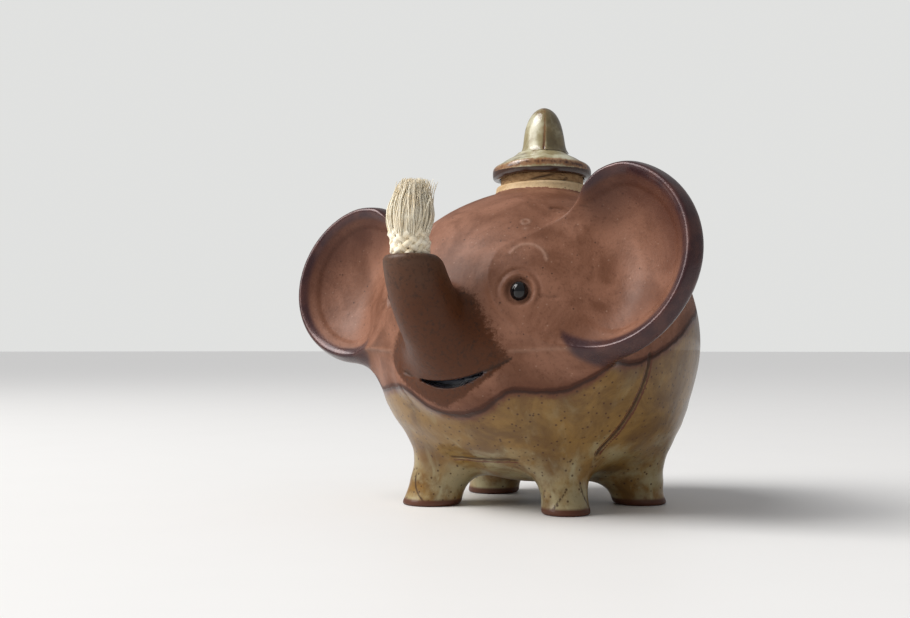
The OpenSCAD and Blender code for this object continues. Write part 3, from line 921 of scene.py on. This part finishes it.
def clay_material(name, slip, ash, light, dark, gloss):
    """One finish for all fired clay: slip above the glaze's edge and glaze below it."""
    material, n, sockets = new_material(name)
    brown = grouped(n, slip, Light=light, Dark=dark, Speckle=0.55)
    high = n.height()
    snout = n.rise(n.plus(n.mark("dark_slip"), n.waver(1.5, 1.3, 4, 0.75)), 0.3, 0.8)
    cool = n.rise(n.plus(high, n.waver(0.02, 9, 3)), 0.058, 0.078)
    deep = n.blend(cool, colour(0.078, 0.022, 0.005), colour(0.092, 0.047, 0.028))
    deep = n.blend(n.mul(n.patches(0.48, 0.7, 1.2, 4, 0.7), 0.7), deep, colour(0.028, 0.012, 0.006))
    # Painted shade inside the ear cups, with the slip's own darkening near their rims.
    shade = n.mul(n.mark("ear_shade"), n.rise(n.grain(12, 4, 0.6), 0.2, 0.6, 0.6, 1.0))
    tone = n.blend(n.mul(shade, 0.88), brown["Color"], colour(0.06, 0.018, 0.011))
    tone = n.blend(snout, tone, deep)
    # Paler on the brow and ring marks, with a painted highlight on the seam's ridge.
    tone = n.blend(n.mul(n.mark("pale_mark"), 0.38), tone, colour(0.48, 0.31, 0.23))
    # Painted shade in the eye sockets and the folds round them.
    tone = n.blend(n.mul(n.mark("socket"), 0.6), tone, colour(0.09, 0.036, 0.02))
    rim = n.mark("rim_slip")
    plum = n.blend(n.patches(0.4, 0.65, 6, 4, 0.6), colour(0.045, 0.018, 0.02), colour(0.075, 0.03, 0.026))
    tone = n.blend(rim, tone, plum)
    above = n.mark("above_glaze")
    wander = n.plus(above, n.waver(1.4, 3.2, 4, 0.6))
    glazed = n.rise(wander, 0.12, -0.12)
    bulge = n.mark("bulge")
    near_edge = n.plus(n.rise(wander, -3.2, -0.2, 0.0, 0.4), n.rise(above, -15, -2, 0.0, 0.3))
    foot = n.rise(high, 0.0016, 0.0026, 1.0, 0.0)
    thin = n.math("MAXIMUM", n.rise(bulge, 0.08, 0.3, 0.0, 0.9), near_edge)
    # Greener and paler towards the bottom.
    greener_low = n.rise(n.plus(high, n.waver(0.03, 14, 3)), 0.03, 0.008, 0.25, 1.0)
    green = grouped(n, ash, Thin=thin, Green=greener_low)
    tone = n.blend(glazed, tone, green["Color"])
    line = n.mul(n.rise(wander, -1.3, -0.5), n.rise(wander, 1.4, 0.5))
    tone = n.blend(n.mul(line, 0.95), tone, colour(0.034, 0.008, 0.002))
    glow = n.mul(n.rise(wander, 4.0, 0.5), n.rise(wander, -0.2, 0.2))
    tone = n.blend(n.mul(glow, 0.4), tone, colour(0.09, 0.022, 0.007))
    # Painted shade along every scored line and crease, the mouth's line among them.
    scored = n.rise(n.plus(n.mark("scored"), n.waver(0.5, 1.5, 3)), 0.3, 0.85)
    tone = n.blend(n.mul(scored, 0.85), tone, colour(0.04, 0.016, 0.007))
    tone = n.blend(foot, tone, colour(0.085, 0.026, 0.011))
    mouth = n.mark("mouth")
    tone = n.blend(mouth, tone, colour(0.035, 0.039, 0.052))
    n.feed(sockets["Base Color"], tone)
    rough = n.mix(glazed, brown["Roughness"], green["Roughness"])
    rough = n.mix(snout, rough, n.mix(n.grain(5, 3), 0.36, 0.55))
    rough = n.mix(n.mul(foot, 0.9), rough, 0.6)
    rough = n.mix(rim, rough, n.mix(n.grain(4, 3), 0.22, 0.34))
    n.feed(sockets["Roughness"], n.mix(mouth, rough, 0.22))
    n.feed(sockets["Metallic"], n.mul(rim, 0.25))
    shine = n.math("MAXIMUM", n.mul(glazed, gloss), n.math("MAXIMUM", n.mul(mouth, 0.8), n.mul(rim, 0.25)))
    n.feed(sockets["Coat Weight"], n.mul(shine, n.rise(n.math("MAXIMUM", line, scored), 0.2, 0.9, 1.0, 0.2)))
    sockets["Specular IOR Level"].default_value = 0.25
    sockets["Coat Roughness"].default_value = 0.12
    step = n.rise(wander, -0.9, 0.5, 1.6, 0.0)
    height = n.mix(glazed, brown["Height"], n.plus(green["Height"], step))
    bump(n, sockets, height, 0.16, 0.8)
    return material


def bead_material():
    """Glossy black glaze, very slightly clouded."""
    material, n, sockets = new_material("black_bead_glaze")
    cloud = n.patches(0.4, 0.7, 1.2, 3)
    n.feed(sockets["Base Color"], n.blend(cloud, colour(0.004, 0.004, 0.005), colour(0.011, 0.009, 0.009)))
    n.feed(sockets["Roughness"], n.mix(n.grain(0.8, 2), 0.05, 0.09))
    sockets["Coat Weight"].default_value = 0.05
    sockets["Coat Roughness"].default_value = 0.03
    sockets["Specular IOR Level"].default_value = 0.4
    return material


def stopper_material(ash):
    """Pale celadon glaze that breaks orange and dark red-brown on the cap's rim and edges."""
    material, n, sockets = new_material("stopper_celadon")
    green = grouped(n, ash, Thin=0.0, Green=1.0)
    cloud = n.patches(0.34, 0.66, 4.5, 4, 0.6, bend=0.5)
    pale = n.blend(cloud, colour(0.56, 0.53, 0.37), colour(0.3, 0.25, 0.13))
    tone = n.blend(n.patches(0.5, 0.7, 8, 3), pale, green["Color"])
    edge = n.plus(n.mark("edge"), n.waver(0.9, 1.6, 4, 0.7))
    tone = n.blend(n.mul(n.rise(edge, 0.3, 0.6), 0.85), tone, colour(0.24, 0.095, 0.03))
    tone = n.blend(n.rise(edge, 0.62, 0.85), tone, colour(0.06, 0.018, 0.009))
    # Painted shade on the knob, deepest on its right side.
    shade = n.mul(n.mark("shade"), n.rise(n.grain(5, 4, 0.6), 0.3, 0.6, 0.55, 0.95))
    tone = n.blend(shade, tone, colour(0.105, 0.075, 0.03))
    # Painted shade under the cap's rim.
    under = n.plus(n.mark("underside"), n.waver(0.5, 3, 3))
    tone = n.blend(n.rise(under, 0.35, 0.6), tone, colour(0.04, 0.014, 0.006))
    tone = n.blend(n.mul(n.specks(1.5, 0.16), 0.6), tone, colour(0.08, 0.035, 0.015))
    n.feed(sockets["Base Color"], tone)
    n.feed(sockets["Roughness"], n.mix(n.grain(3, 3), 0.14, 0.3))
    sockets["Coat Weight"].default_value = 0.3
    sockets["Coat Roughness"].default_value = 0.1
    bump(n, sockets, n.plus(green["Height"], n.mul(edge, -0.5)), 0.14, 0.7)
    return material


def cork_material():
    """Dry cork: tan grain with dark pores and slanting streaks."""
    material, n, sockets = new_material("cork_grain")
    flat = n.place((1, 1, 2.6))
    cells = n.grain(2.4, 5, 0.65, flat)
    tone = n.blend(n.rise(cells, 0.36, 0.66), colour(0.44, 0.27, 0.125), colour(0.27, 0.145, 0.06))
    streaks = n.grain(5.5, 4, 0.7, n.place((0.8, 0.8, 3.4)), 0.4)
    tone = n.blend(n.mul(n.rise(streaks, 0.6, 0.7), 0.9), tone, colour(0.035, 0.014, 0.007))
    pores = n.mark("pores")
    tone = n.blend(n.mul(pores, 0.92), tone, colour(0.02, 0.009, 0.005))
    tone = n.blend(n.mul(n.specks(1.1, 0.22), 0.55), tone, colour(0.1, 0.045, 0.02))
    n.feed(sockets["Base Color"], tone)
    n.feed(sockets["Roughness"], n.mix(cells, 0.7, 0.92))
    height = n.plus(n.mul(cells, 0.8), n.mul(n.rise(streaks, 0.58, 0.72), -1.0))
    bump(n, sockets, height, 0.22, 0.9)
    return material


def cotton_material():
    """Undyed cotton, fuzzy at a grazing look, a little darker where it is charred or oily."""
    material, n, sockets = new_material("wick_cotton")
    tint = n.patches(0.35, 0.7, 3.2, 4, 0.6)
    tone = n.blend(tint, colour(0.97, 0.9, 0.73), colour(0.9, 0.78, 0.57))
    fine = n.rise(n.grain(0.35, 2, 0.6, n.place((1, 1, 0.2))), 0.45, 0.7)
    tone = n.blend(n.mul(fine, 0.2), tone, colour(0.55, 0.42, 0.25))
    n.feed(sockets["Base Color"], tone)
    n.feed(sockets["Roughness"], n.mix(tint, 0.8, 0.95))
    sockets["Sheen Weight"].default_value = 0.35
    sockets["Sheen Roughness"].default_value = 0.5
    bump(n, sockets, n.grain(0.3, 2, 0.6, n.place((1, 1, 0.25))), 0.08, 0.8)
    return material


def make_materials():
    """Every finish under its slot's name."""
    slip = slip_group()
    ash = glaze_group()
    light = colour(0.25, 0.112, 0.067)
    dark = colour(0.14, 0.053, 0.026)
    return {
        "brown_clay": clay_material("brown_slip_clay", slip, ash, light, dark, 0.5),
        "green_glaze": clay_material("ash_glazed_clay", slip, ash, light, dark, 0.22),
        "dark_clay": clay_material("dark_trunk_clay", slip, ash, light, dark, 0.5),
        "buff_rim": clay_material("buff_collar_clay", slip, ash, colour(0.62, 0.46, 0.27),
                                  colour(0.45, 0.29, 0.14), 0.2),
        "black_bead": bead_material(),
        "stopper_glaze": stopper_material(ash),
        "cork": cork_material(),
        "cotton": cotton_material()}


# ---- stopper -----------------------------------------------------------------------------

KNOB_TURN = math.radians(-54)
SPLIT_TURN = math.radians(-58)


def turned(profile, sides):
    """Rings of points for a turned piece from (radius, height) pairs, bottom to top."""
    turns = np.linspace(0, 2 * math.pi, sides, endpoint=False)
    r, z = np.array(profile).T[:, :, None]
    return r * np.cos(turns), r * np.sin(turns), z + 0 * turns, turns + 0 * r


def ring_faces(rings, sides):
    """Quads between neighbouring rings."""
    i = np.arange(rings - 1)[:, None] * sides
    a = np.arange(sides)[None, :]
    b = (a + 1) % sides
    return np.stack([i + a, i + b, i + sides + b, i + sides + a], -1).reshape(-1, 4)


def closed_turning(name, x, y, z, marks=None):
    """A closed mesh from rings of points, with a middle point at its bottom and its top."""
    rings, sides = x.shape
    verts = np.stack([x, y, z], -1).reshape(-1, 3)
    verts = np.concatenate([verts, [verts[:sides].mean(0), verts[-sides:].mean(0)]])
    a = np.arange(sides)
    b = (a + 1) % sides
    top = (rings - 1) * sides
    low_fan = np.stack([0 * a + rings * sides, b, a], 1).tolist()
    top_fan = np.stack([0 * a + rings * sides + 1, top + a, top + b], 1).tolist()
    mesh = bpy.data.meshes.new(name)
    mesh.from_pydata(to_frame(verts).tolist(), [], ring_faces(rings, sides).tolist() + low_fan + top_fan)
    for mark, values in (marks or {}).items():
        ends = [values[0].mean(), values[-1].mean()]
        set_marks(mesh, {mark: np.concatenate([values.reshape(-1), ends])})
    shade_smooth(mesh)
    return in_scene(name, mesh)


def run_along(line):
    """How far along a line each of its points lies."""
    return np.concatenate([[0], np.cumsum(np.linalg.norm(np.diff(line, axis=0), axis=1))])


def rounded_profile(points, spacing=0.35):
    """Evenly spaced points along a smooth line that follows given ones."""
    p = np.array(points, float)
    for _ in range(4):
        cut = np.stack([0.75 * p[:-1] + 0.25 * p[1:], 0.25 * p[:-1] + 0.75 * p[1:]], 1)
        p = np.concatenate([p[:1], cut.reshape(-1, 2)[1:-1], p[-1:]])
    along = run_along(p)
    steps = np.linspace(0, along[-1], max(int(along[-1] / spacing), 4))
    return np.stack([np.interp(steps, along, p[:, 0]), np.interp(steps, along, p[:, 1])], 1)


def heights(node):
    """The lowest and highest points of a CAD node, in millimetres."""
    return [corner.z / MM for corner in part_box(node)]


def make_cap():
    """The mushroom cap: a rolled rim whose two sides sag a little, as it was lifted off."""
    low, high = heights("stopper_cap")
    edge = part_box("stopper_cap")[1].x / MM
    profile = rounded_profile([
        (0.3, low + 1.9), (11.5, low + 1.9), (13.2, low + 1.5), (13.6, low + 0.2), (14.6, low),
        (15.5, low + 0.3), (edge + 0.1, low + 1.9), (edge, low + 3.6), (14.9, low + 4.6),
        (13.2, low + 5.3), (11.4, low + 6.5), (9.2, low + 7.5), (8.0, high - 0.6), (7.6, high - 0.1),
        (6.4, high), (0.3, high)])
    x, y, z, turn = turned(profile, 160)
    r = np.hypot(x, y)
    away = np.clip((r - 8) / 8, 0, 1)
    sag = 0.75 * np.cos(2 * (turn - VIEW_TURN))
    wobble = 0.18 * np.sin(3 * turn + 1) + 0.12 * np.sin(5 * turn + 2.2)
    z = z - (sag - 0.2) * away * 0.9 + wobble * away
    grow = 1 + 0.008 * np.sin(2 * turn + 0.6) + 0.004 * np.sin(7 * turn)
    rim = np.exp(-((z - low - 3.4 + sag * 0.9) / 1.5) ** 2) * step_up(r, 12.5, 14.6)
    # Painted shade under the cap's rim.
    shade = step_up(low + 3.0 - z, 0, 1.2) * (r > 8)
    return closed_turning("mushroom_cap", x * grow, y * grow + FILLER_Y, z,
                          {"edge": rim * 0.75, "underside": shade})


def make_knob():
    """The pinched knob: four soft ridges, one of them facing forward and to the left."""
    base, top = heights("stopper_knob")
    height = top - base
    t = 1 - (1 - np.linspace(0, 1, 64)) ** 1.6
    sides = 144
    turn = np.linspace(0, 2 * math.pi, sides, endpoint=False)[None, :]
    t = t[:, None]
    girth = 7.0 * (1 - 0.17 * t) * np.power(np.clip(1 - t ** 3.4, 0.0004, 1), 0.5)
    lean = turn - KNOB_TURN - 0.1 * t
    power = 1.55 + 0.25 * t
    ridge_r = 1 / (np.abs(np.cos(lean)) ** power + np.abs(np.sin(lean)) ** power) ** (1 / power)
    r = girth * (0.35 + 0.65 * ridge_r) * (1 + 0.012 * np.sin(3 * turn + 5 * t))
    foot = 0.9 * np.exp(-t * 14)
    x = (r + foot) * np.cos(turn) + 0.6
    y = (r + foot) * np.sin(turn) + FILLER_Y + 0.4
    z = base - 0.3 + t * (height + 0.2) + 0 * turn
    groove = np.abs(((lean + math.pi / 4 + 0.09) % (math.pi / 2)) - math.pi / 4)
    cut = 0.25 * ridge(groove, 0.05)
    x -= cut * np.cos(turn) * (1 - t)
    y -= cut * np.sin(turn) * (1 - t)
    edge = np.exp(-(groove / 0.075) ** 2) * 0.85 * (1 - 0.4 * t) + 0.5 * step_up(t, 0.9, 1.0)
    # Painted shade: the knob's right side in full, the rest of it lightly.
    right = step_up(np.sin(turn - KNOB_TURN), -0.1, 0.1)
    marks = {"edge": edge, "underside": 0 * z, "shade": 0.3 + 0.7 * right + 0 * z}
    return closed_turning("pinched_knob", x, y, z, marks)


def make_cork():
    """The cork: its skin is pitted with pores and slanting splits."""
    low, high = heights("stopper_cork")
    wide = (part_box("stopper_cork")[1].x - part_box("stopper_cork")[0].x) / 2 / MM
    profile = rounded_profile([(0.3, low), (10.6, low), (12.0, low + 0.2), (12.1, low + 0.9),
                               (wide - 0.35, high - 6), (wide, high - 4), (wide, high - 0.1),
                               (wide - 0.4, high), (0.3, high)], 0.3)
    x, y, z, turn = turned(profile, 220)
    draw = np.random.default_rng(11)
    pits = np.zeros_like(z)
    for _ in range(26):
        at = draw.uniform(0, 2 * math.pi)
        height = draw.uniform(low + 1, high - 0.5)
        length = draw.uniform(0.6, 2.6)
        width = draw.uniform(0.14, 0.3)
        slant = draw.uniform(-0.5, 0.2)
        across = wrapped(turn - at, math.tau) * wide
        off = (z - height - slant * across) / width
        pits = np.maximum(pits, np.exp(-off ** 2 - (across / length) ** 2))
    front = wrapped(turn - SPLIT_TURN, math.tau) * wide
    split = np.exp(-((z - (high - 1.9) - 0.22 * front) / 0.33) ** 2 - (front / 4.2) ** 4)
    pits = np.maximum(pits, split) * (np.hypot(x, y) > 8)
    r = 1 - 0.03 * pits
    return closed_turning("tapered_cork", x * r, y * r + FILLER_Y, z, {"pores": pits})


def make_stopper(materials):
    for make, slot_name, node in ((make_cap, "stopper_glaze", "stopper_cap"),
                                  (make_knob, "stopper_glaze", "stopper_knob"),
                                  (make_cork, "cork", "stopper_cork")):
        dress(make(), materials[slot_name], "stopper", slot_name, node)


# ---- eyes --------------------------------------------------------------------------------

def make_eye(side):
    """A bead pressed into its socket, a little taller than it is wide."""
    low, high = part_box("eye_" + side)
    middle = np.array((low + high) / 2) / MM - np.array((0, AXIS_Y, 0))
    t = np.linspace(-math.pi / 2 + 0.02, math.pi / 2 - 0.02, 40)
    x, y, z, turn = turned(np.stack([np.cos(t), np.sin(t)], 1), 72)
    return closed_turning("bead_eye_" + side, middle[0] + BEAD_R * x, middle[1] + BEAD_R * y,
                          middle[2] + BEAD_TALL * z)


def make_eyes(materials):
    for side in ("left", "right"):
        dress(make_eye(side), materials["black_bead"], "elephant", "black_bead", "eye_" + side)


# ---- wick --------------------------------------------------------------------------------

# How far the wick hangs past its bend inside the body, and that bend's radius.
WICK_LOW = 6.0
HANG_BEND_R = 14.0
TUFT_FOOT = 81.0
TUFT_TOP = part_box("wick_tuft")[1].z / MM - 0.4
CORE_R = 3.1
BRAID_R = 4.1
PLY_R = 0.8
PLIES = 9
PLY_RUN = 22.0
FIBRES = 2900
# How far the tuft's fibres start below its foot, inside the braid.
TUFT_ROOT = 4
GOLDEN_TURN = 2.399963


def new_tree(name, **sizes):
    """An empty geometry tree with named sizes, a layout for it, its inputs and its output."""
    tree = bpy.data.node_groups.new(name, "GeometryNodeTree")
    tree.interface.new_socket("Geometry", in_out="INPUT", socket_type="NodeSocketGeometry")
    add_inputs(tree, sizes)
    tree.interface.new_socket("Geometry", in_out="OUTPUT", socket_type="NodeSocketGeometry")
    start = tree.nodes.new("NodeGroupInput")
    end = tree.nodes.new("NodeGroupOutput")
    return tree, Nodes(tree), start.outputs, end.inputs[0]


def braid_tree():
    """A round braid: plies that wind both ways and pass over and under each other on a core."""
    tree, n, size, end = new_tree("round_braid", Length=0.09, Braid_Radius=0.004, Ply_Radius=0.001,
                                  Plies_Each_Way=7, Turns=4.0, Core_Radius=0.003, Cotton=None)
    step = n.math("DIVIDE", math.tau, size["Plies Each Way"])
    around = n.add("GeometryNodeCurvePrimitiveCircle", Resolution=8, Radius=size["Ply Radius"])
    ways = []
    for reverse in (False, True):
        line = n.add("GeometryNodeCurveSpiral", Resolution=46, Rotations=size["Turns"],
                   Start_Radius=size["Braid Radius"], End_Radius=size["Braid Radius"],
                   Height=size["Length"], Reverse=reverse)
        factor = n.add("GeometryNodeSplineParameter", "Factor")
        phase = n.mul(n.mul(factor, size["Turns"]), math.tau)
        weave = n.math("COSINE", n.mul(phase, size["Plies Each Way"]))
        depth = n.mul(size["Ply Radius"], -0.62 if reverse else 0.62)
        swing = n.math("DIVIDE", n.mul(weave, depth), size["Braid Radius"])
        spot = n.add("GeometryNodeInputPosition")
        flat = n.add("ShaderNodeVectorMath", 0, {"operation": "MULTIPLY"}, i0=spot, i1=(1, 1, 0))
        out = n.add("ShaderNodeVectorMath", 0, {"operation": "SCALE"}, i0=flat, Scale=swing)
        line = n.add("GeometryNodeSetPosition", Geometry=line, Offset=out)
        ply = n.add("GeometryNodeCurveToMesh", Curve=line, Profile_Curve=around, Fill_Caps=True)
        spots = n.add("GeometryNodePoints", Count=size["Plies Each Way"])
        turn = n.mul(n.add("GeometryNodeInputIndex"), step)
        spin = n.add("ShaderNodeCombineXYZ", Z=turn)
        ways.append(n.add("GeometryNodeInstanceOnPoints", Points=spots, Instance=ply, Rotation=spin))
    top = n.add("ShaderNodeCombineXYZ", Z=size["Length"])
    middle = n.add("GeometryNodeCurvePrimitiveLine", End=top)
    middle = n.add("GeometryNodeResampleCurve", Curve=middle, Count=140)
    girth = n.add("GeometryNodeCurvePrimitiveCircle", Resolution=24, Radius=size["Core Radius"])
    core = n.add("GeometryNodeCurveToMesh", Curve=middle, Profile_Curve=girth, Fill_Caps=True)
    joined = tree.nodes.new("GeometryNodeJoinGeometry")
    for part in ways + [core]:
        tree.links.new(part, joined.inputs[0])
    real = n.add("GeometryNodeRealizeInstances", Geometry=joined.outputs[0])
    n.feed(end, n.add("GeometryNodeSetMaterial", Geometry=real, Material=size["Cotton"]))
    return tree


def tuft_tree():
    """Loose fibres that stand up from a round bundle, each with its own length and lean."""
    tree, n, size, end = new_tree("frayed_tuft", Fibres=2000, Bundle_Radius=0.004, Length=0.015,
                                  Fibre_Radius=0.0001, Shortest=0.6, Seed=5, Cotton=None)
    spots = n.add("GeometryNodePoints", Count=size["Fibres"])
    index = n.add("GeometryNodeInputIndex")
    turn = n.mul(index, GOLDEN_TURN)
    share = n.math("SQRT", n.math("DIVIDE", index, size["Fibres"]))
    r = n.mul(share, size["Bundle Radius"])
    spot = n.add("ShaderNodeCombineXYZ", X=n.mul(r, n.math("COSINE", turn)),
               Y=n.mul(r, n.math("SINE", turn)))
    spots = n.add("GeometryNodeSetPosition", Geometry=spots, Position=spot)
    top = n.add("ShaderNodeCombineXYZ", Z=size["Length"])
    line = n.add("GeometryNodeCurvePrimitiveLine", End=top)
    line = n.add("GeometryNodeResampleCurve", Curve=line, Count=8)
    around = n.add("GeometryNodeCurvePrimitiveCircle", Resolution=3, Radius=size["Fibre Radius"])
    fibre = n.add("GeometryNodeCurveToMesh", Curve=line, Profile_Curve=around, Fill_Caps=True)
    lean = n.add("FunctionNodeRandomValue", 0, {"data_type": "FLOAT_VECTOR"},
               Min=(-0.16, -0.16, 0.0), Max=(0.16, 0.16, 6.28), Seed=size["Seed"])
    tall = n.add("FunctionNodeRandomValue", 1, {"data_type": "FLOAT"}, i2=size["Shortest"], i3=1.0,
               Seed=n.plus(size["Seed"], 1))
    grow = n.add("ShaderNodeCombineXYZ", X=1.0, Y=1.0, Z=tall)
    stood = n.add("GeometryNodeInstanceOnPoints", Points=spots, Instance=fibre, Rotation=lean, Scale=grow)
    real = n.add("GeometryNodeRealizeInstances", Geometry=stood)
    n.feed(end, n.add("GeometryNodeSetMaterial", Geometry=real, Material=size["Cotton"]))
    return tree


def grown(name, tree, **sizes):
    """Runs a geometry tree with its sizes set, and keeps the result as a plain mesh."""
    holder = in_scene(name + "_holder", bpy.data.meshes.new(name + "_start"))
    modifier = holder.modifiers.new("grow", "NODES")
    modifier.node_group = tree
    for item in tree.interface.items_tree:
        label = item.name.replace(" ", "_")
        if item.in_out == "INPUT" and label in sizes:
            modifier[item.identifier] = sizes[label]
    ready = holder.evaluated_get(bpy.context.evaluated_depsgraph_get())
    mesh = bpy.data.meshes.new_from_object(ready)
    holder.modifiers.remove(modifier)
    bpy.data.objects.remove(holder)
    mesh.name = name
    return in_scene(name, mesh)


def mesh_points(mesh):
    """A mesh's points, in millimetres."""
    flat = np.zeros(len(mesh.vertices) * 3, np.float32)
    mesh.vertices.foreach_get("co", flat)
    return flat.reshape(-1, 3) / MM


def set_mesh_points(mesh, points):
    mesh.vertices.foreach_set("co", (points * MM).astype(np.float32).ravel())
    mesh.update()


def wick_route():
    """Points along the wick's middle, from its hanging end up the trunk to the tuft."""
    turns = np.linspace(0, math.radians(84), 120)
    arc = np.stack([0 * turns, -BEND_Y - BEND_R * np.sin(turns), BEND_Z - BEND_R * np.cos(turns)], 1)
    bend = np.linspace(math.radians(90), 0, 40)[:-1]
    r = HANG_BEND_R
    start = arc[0]
    dip = np.stack([0 * bend, start[1] + r * np.sin(bend), start[2] - r + r * np.cos(bend)], 1)
    hang = dip[0] + np.array([(0, 0, -WICK_LOW), (0, 0, -WICK_LOW / 2)])
    up = arc[-1] + np.outer(np.linspace(0.5, 12, 24), (0, 0, 1))
    route = np.concatenate([hang, dip, arc, up])
    apart = np.linalg.norm(np.diff(route, axis=0), axis=1) > 1e-4
    return route[np.concatenate([[True], apart])]


def bent_along(points, route):
    """Moves points that stand round the z axis onto a route, keeping their distance from it."""
    along = run_along(route)

    def beside(line):
        return np.stack([np.interp(points[:, 2], along, line[:, k]) for k in range(3)], 1)

    way = unit(beside(unit(np.gradient(route, along, axis=0))))
    side = np.array((1.0, 0.0, 0.0))
    other = np.cross(way, side)
    return beside(route) + points[:, :1] * side + points[:, 1:2] * other


def make_braid(material):
    """The braided cotton wick, whose plies slacken and curl where it leaves the trunk."""
    route = wick_route()
    steps = np.linalg.norm(np.diff(route, axis=0), axis=1)
    free = np.flatnonzero(route[:, 2] < TUFT_FOOT + 1.0)[-1]
    length = float(steps[:free].sum())
    piece = grown("braided_wick", braid_tree(), Length=length * MM, Braid_Radius=BRAID_R * MM,
                  Ply_Radius=PLY_R * MM, Plies_Each_Way=PLIES, Turns=length / PLY_RUN,
                  Core_Radius=CORE_R * MM, Cotton=material)
    p = mesh_points(piece.data)
    slack = step_up(p[:, 2], length - 9.5, length - 4)
    r = np.hypot(p[:, 0], p[:, 1])
    curl = np.sin(p[:, 2] * 1.7 + 2 * np.arctan2(p[:, 1], p[:, 0])) * 0.45 * slack
    loose = 1 + (0.1 * slack + 0.1 * curl) * (r > CORE_R + 0.2)
    p[:, :2] *= loose[:, None]
    p[:, 2] += 0.5 * slack * np.sin(3 * np.arctan2(p[:, 1], p[:, 0]) + 1.0)
    p[:, 2] = np.clip(p[:, 2], 0, length + 0.5)
    set_mesh_points(piece.data, bent_along(p, route) + np.array((0, AXIS_Y, 0)))
    return piece


def make_tuft(material):
    """The frayed end: a brush of fibres, waisted at its foot and fuller above."""
    base = wick_route()[-1] * np.array((1, 1, 0))
    tall = TUFT_TOP - TUFT_FOOT + TUFT_ROOT
    piece = grown("frayed_tuft", tuft_tree(), Fibres=FIBRES, Bundle_Radius=4.3 * MM,
                  Length=tall * MM, Fibre_Radius=0.15 * MM, Shortest=0.62, Seed=5, Cotton=material)
    mesh = piece.data
    p = mesh_points(mesh)
    fibre = np.arange(len(p)) // (len(p) // FIBRES)
    draw = np.random.default_rng(21)
    phase = draw.uniform(0, 2 * math.pi, (FIBRES, 3))[fibre]
    reach = draw.uniform(0.3, 1.0, FIBRES)[fibre]
    t = np.clip(p[:, 2] / tall, 0, 1)
    flare = 0.97 + 0.3 * np.sin(np.clip(t * 1.25, 0, 1) * math.pi) - 0.42 * t ** 2.6
    curl = 0.55 * reach * t * (1.2 - 0.4 * t)
    first, second, third = phase.T
    p[:, 0] = p[:, 0] * flare + curl * np.sin(6 * t + first) + 0.4 * curl * np.sin(17 * t + second)
    p[:, 1] = p[:, 1] * flare + curl * np.cos(5 * t + second) + 0.4 * curl * np.sin(15 * t + third)
    stray = (draw.uniform(0, 1, FIBRES) < 0.05)[fibre] * t ** 2
    for axis, strays, lean in ((0, 3.0, 0.9), (1, 2.2, 1.3)):
        p[:, axis] += stray * strays
        p[:, axis] += lean * t ** 2
    p[:, 2] += TUFT_FOOT - TUFT_ROOT
    p[:, 2] = np.minimum(p[:, 2], TUFT_TOP)
    set_mesh_points(mesh, p + base + np.array((0, AXIS_Y, 0)))
    return piece


def make_wick(materials):
    cotton = materials["cotton"]
    for piece, node in ((make_braid(cotton), "wick_cord"), (make_tuft(cotton), "wick_tuft")):
        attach(piece, "wick")
        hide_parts(node)


# ---- camera, light and floor -------------------------------------------------------------

CAMERA_AT = (216.6, -342.0, 48.5)
CAMERA_TILT = math.radians(1.85)
WINDOW_POWER = 13
DAYLIGHT = 1.9
ROOM_LIGHT = 0.42


def make_camera():
    data = bpy.data.cameras.new("camera")
    data.lens = 50
    data.sensor_width = 36
    camera = in_scene("camera", data)
    camera.location = (Vector(CAMERA_AT) + Vector((0, AXIS_Y, 0))) * MM
    flat = math.cos(CAMERA_TILT)
    look = Vector((-math.sin(VIEW_TURN) * flat, math.cos(VIEW_TURN) * flat, math.sin(CAMERA_TILT)))
    camera.rotation_euler = look.to_track_quat("-Z", "Y").to_euler()
    bpy.context.scene.camera = camera


def make_light(name, place, size, power, tone):
    """A square window of light that faces the lamp."""
    data = bpy.data.lights.new(name, "AREA")
    data.shape = "RECTANGLE"
    data.size = data.size_y = size
    data.energy = power
    data.color = tone
    light = in_scene(name, data)
    light.location = place
    light.rotation_euler = (Vector((0, 0, 0.06)) - light.location).to_track_quat("-Z", "Y").to_euler()


def make_sky_light(name, from_side, strength, spread):
    """Even light over the whole floor, as soft as that of a wide window."""
    data = bpy.data.lights.new(name, "SUN")
    data.energy = strength
    data.angle = spread
    light = in_scene(name, data)
    light.rotation_euler = (-Vector(from_side)).to_track_quat("-Z", "Y").to_euler()


def make_world():
    """A pale room that lights the lamp only gently."""
    world = bpy.data.worlds.new("pale_room")
    bpy.context.scene.world = world
    world.use_nodes = True
    n = Nodes(world.node_tree)
    out = world.node_tree.nodes["World Output"]
    dim = n.add("ShaderNodeBackground", Color=colour(0.78, 0.78, 0.79), Strength=ROOM_LIGHT)
    pale = n.add("ShaderNodeBackground", Color=colour(0.75, 0.755, 0.745), Strength=1.0)
    seen = n.add("ShaderNodeLightPath", "Is Camera Ray")
    n.feed(out.inputs["Surface"], n.add("ShaderNodeMixShader", 0, i0=seen, i1=dim, i2=pale))


def make_floor():
    corners = np.array([(-30, -30, 0), (30, -30, 0), (30, 30, 0), (-30, 30, 0)], float)
    floor = new_piece("floor", corners, np.array([[0, 1, 2, 3]]))
    material, n, sockets = new_material("pale_floor")
    tone = n.blend(n.grain(40, 3), colour(0.84, 0.835, 0.825), colour(0.82, 0.815, 0.805))
    n.feed(sockets["Base Color"], tone)
    sockets["Roughness"].default_value = 0.5
    floor.data.materials.append(material)


def make_studio():
    make_camera()
    make_light("window", (-0.75, -0.75, 0.85), 0.9, WINDOW_POWER, (1.0, 0.98, 0.95))
    make_sky_light("daylight", (-0.55, -0.6, 1.0), DAYLIGHT, math.radians(38))
    make_world()
    make_floor()
    bpy.context.scene.view_settings.view_transform = "Standard"


finishes = make_materials()
make_clay(finishes)
make_stopper(finishes)
make_eyes(finishes)
make_wick(finishes)
make_studio()
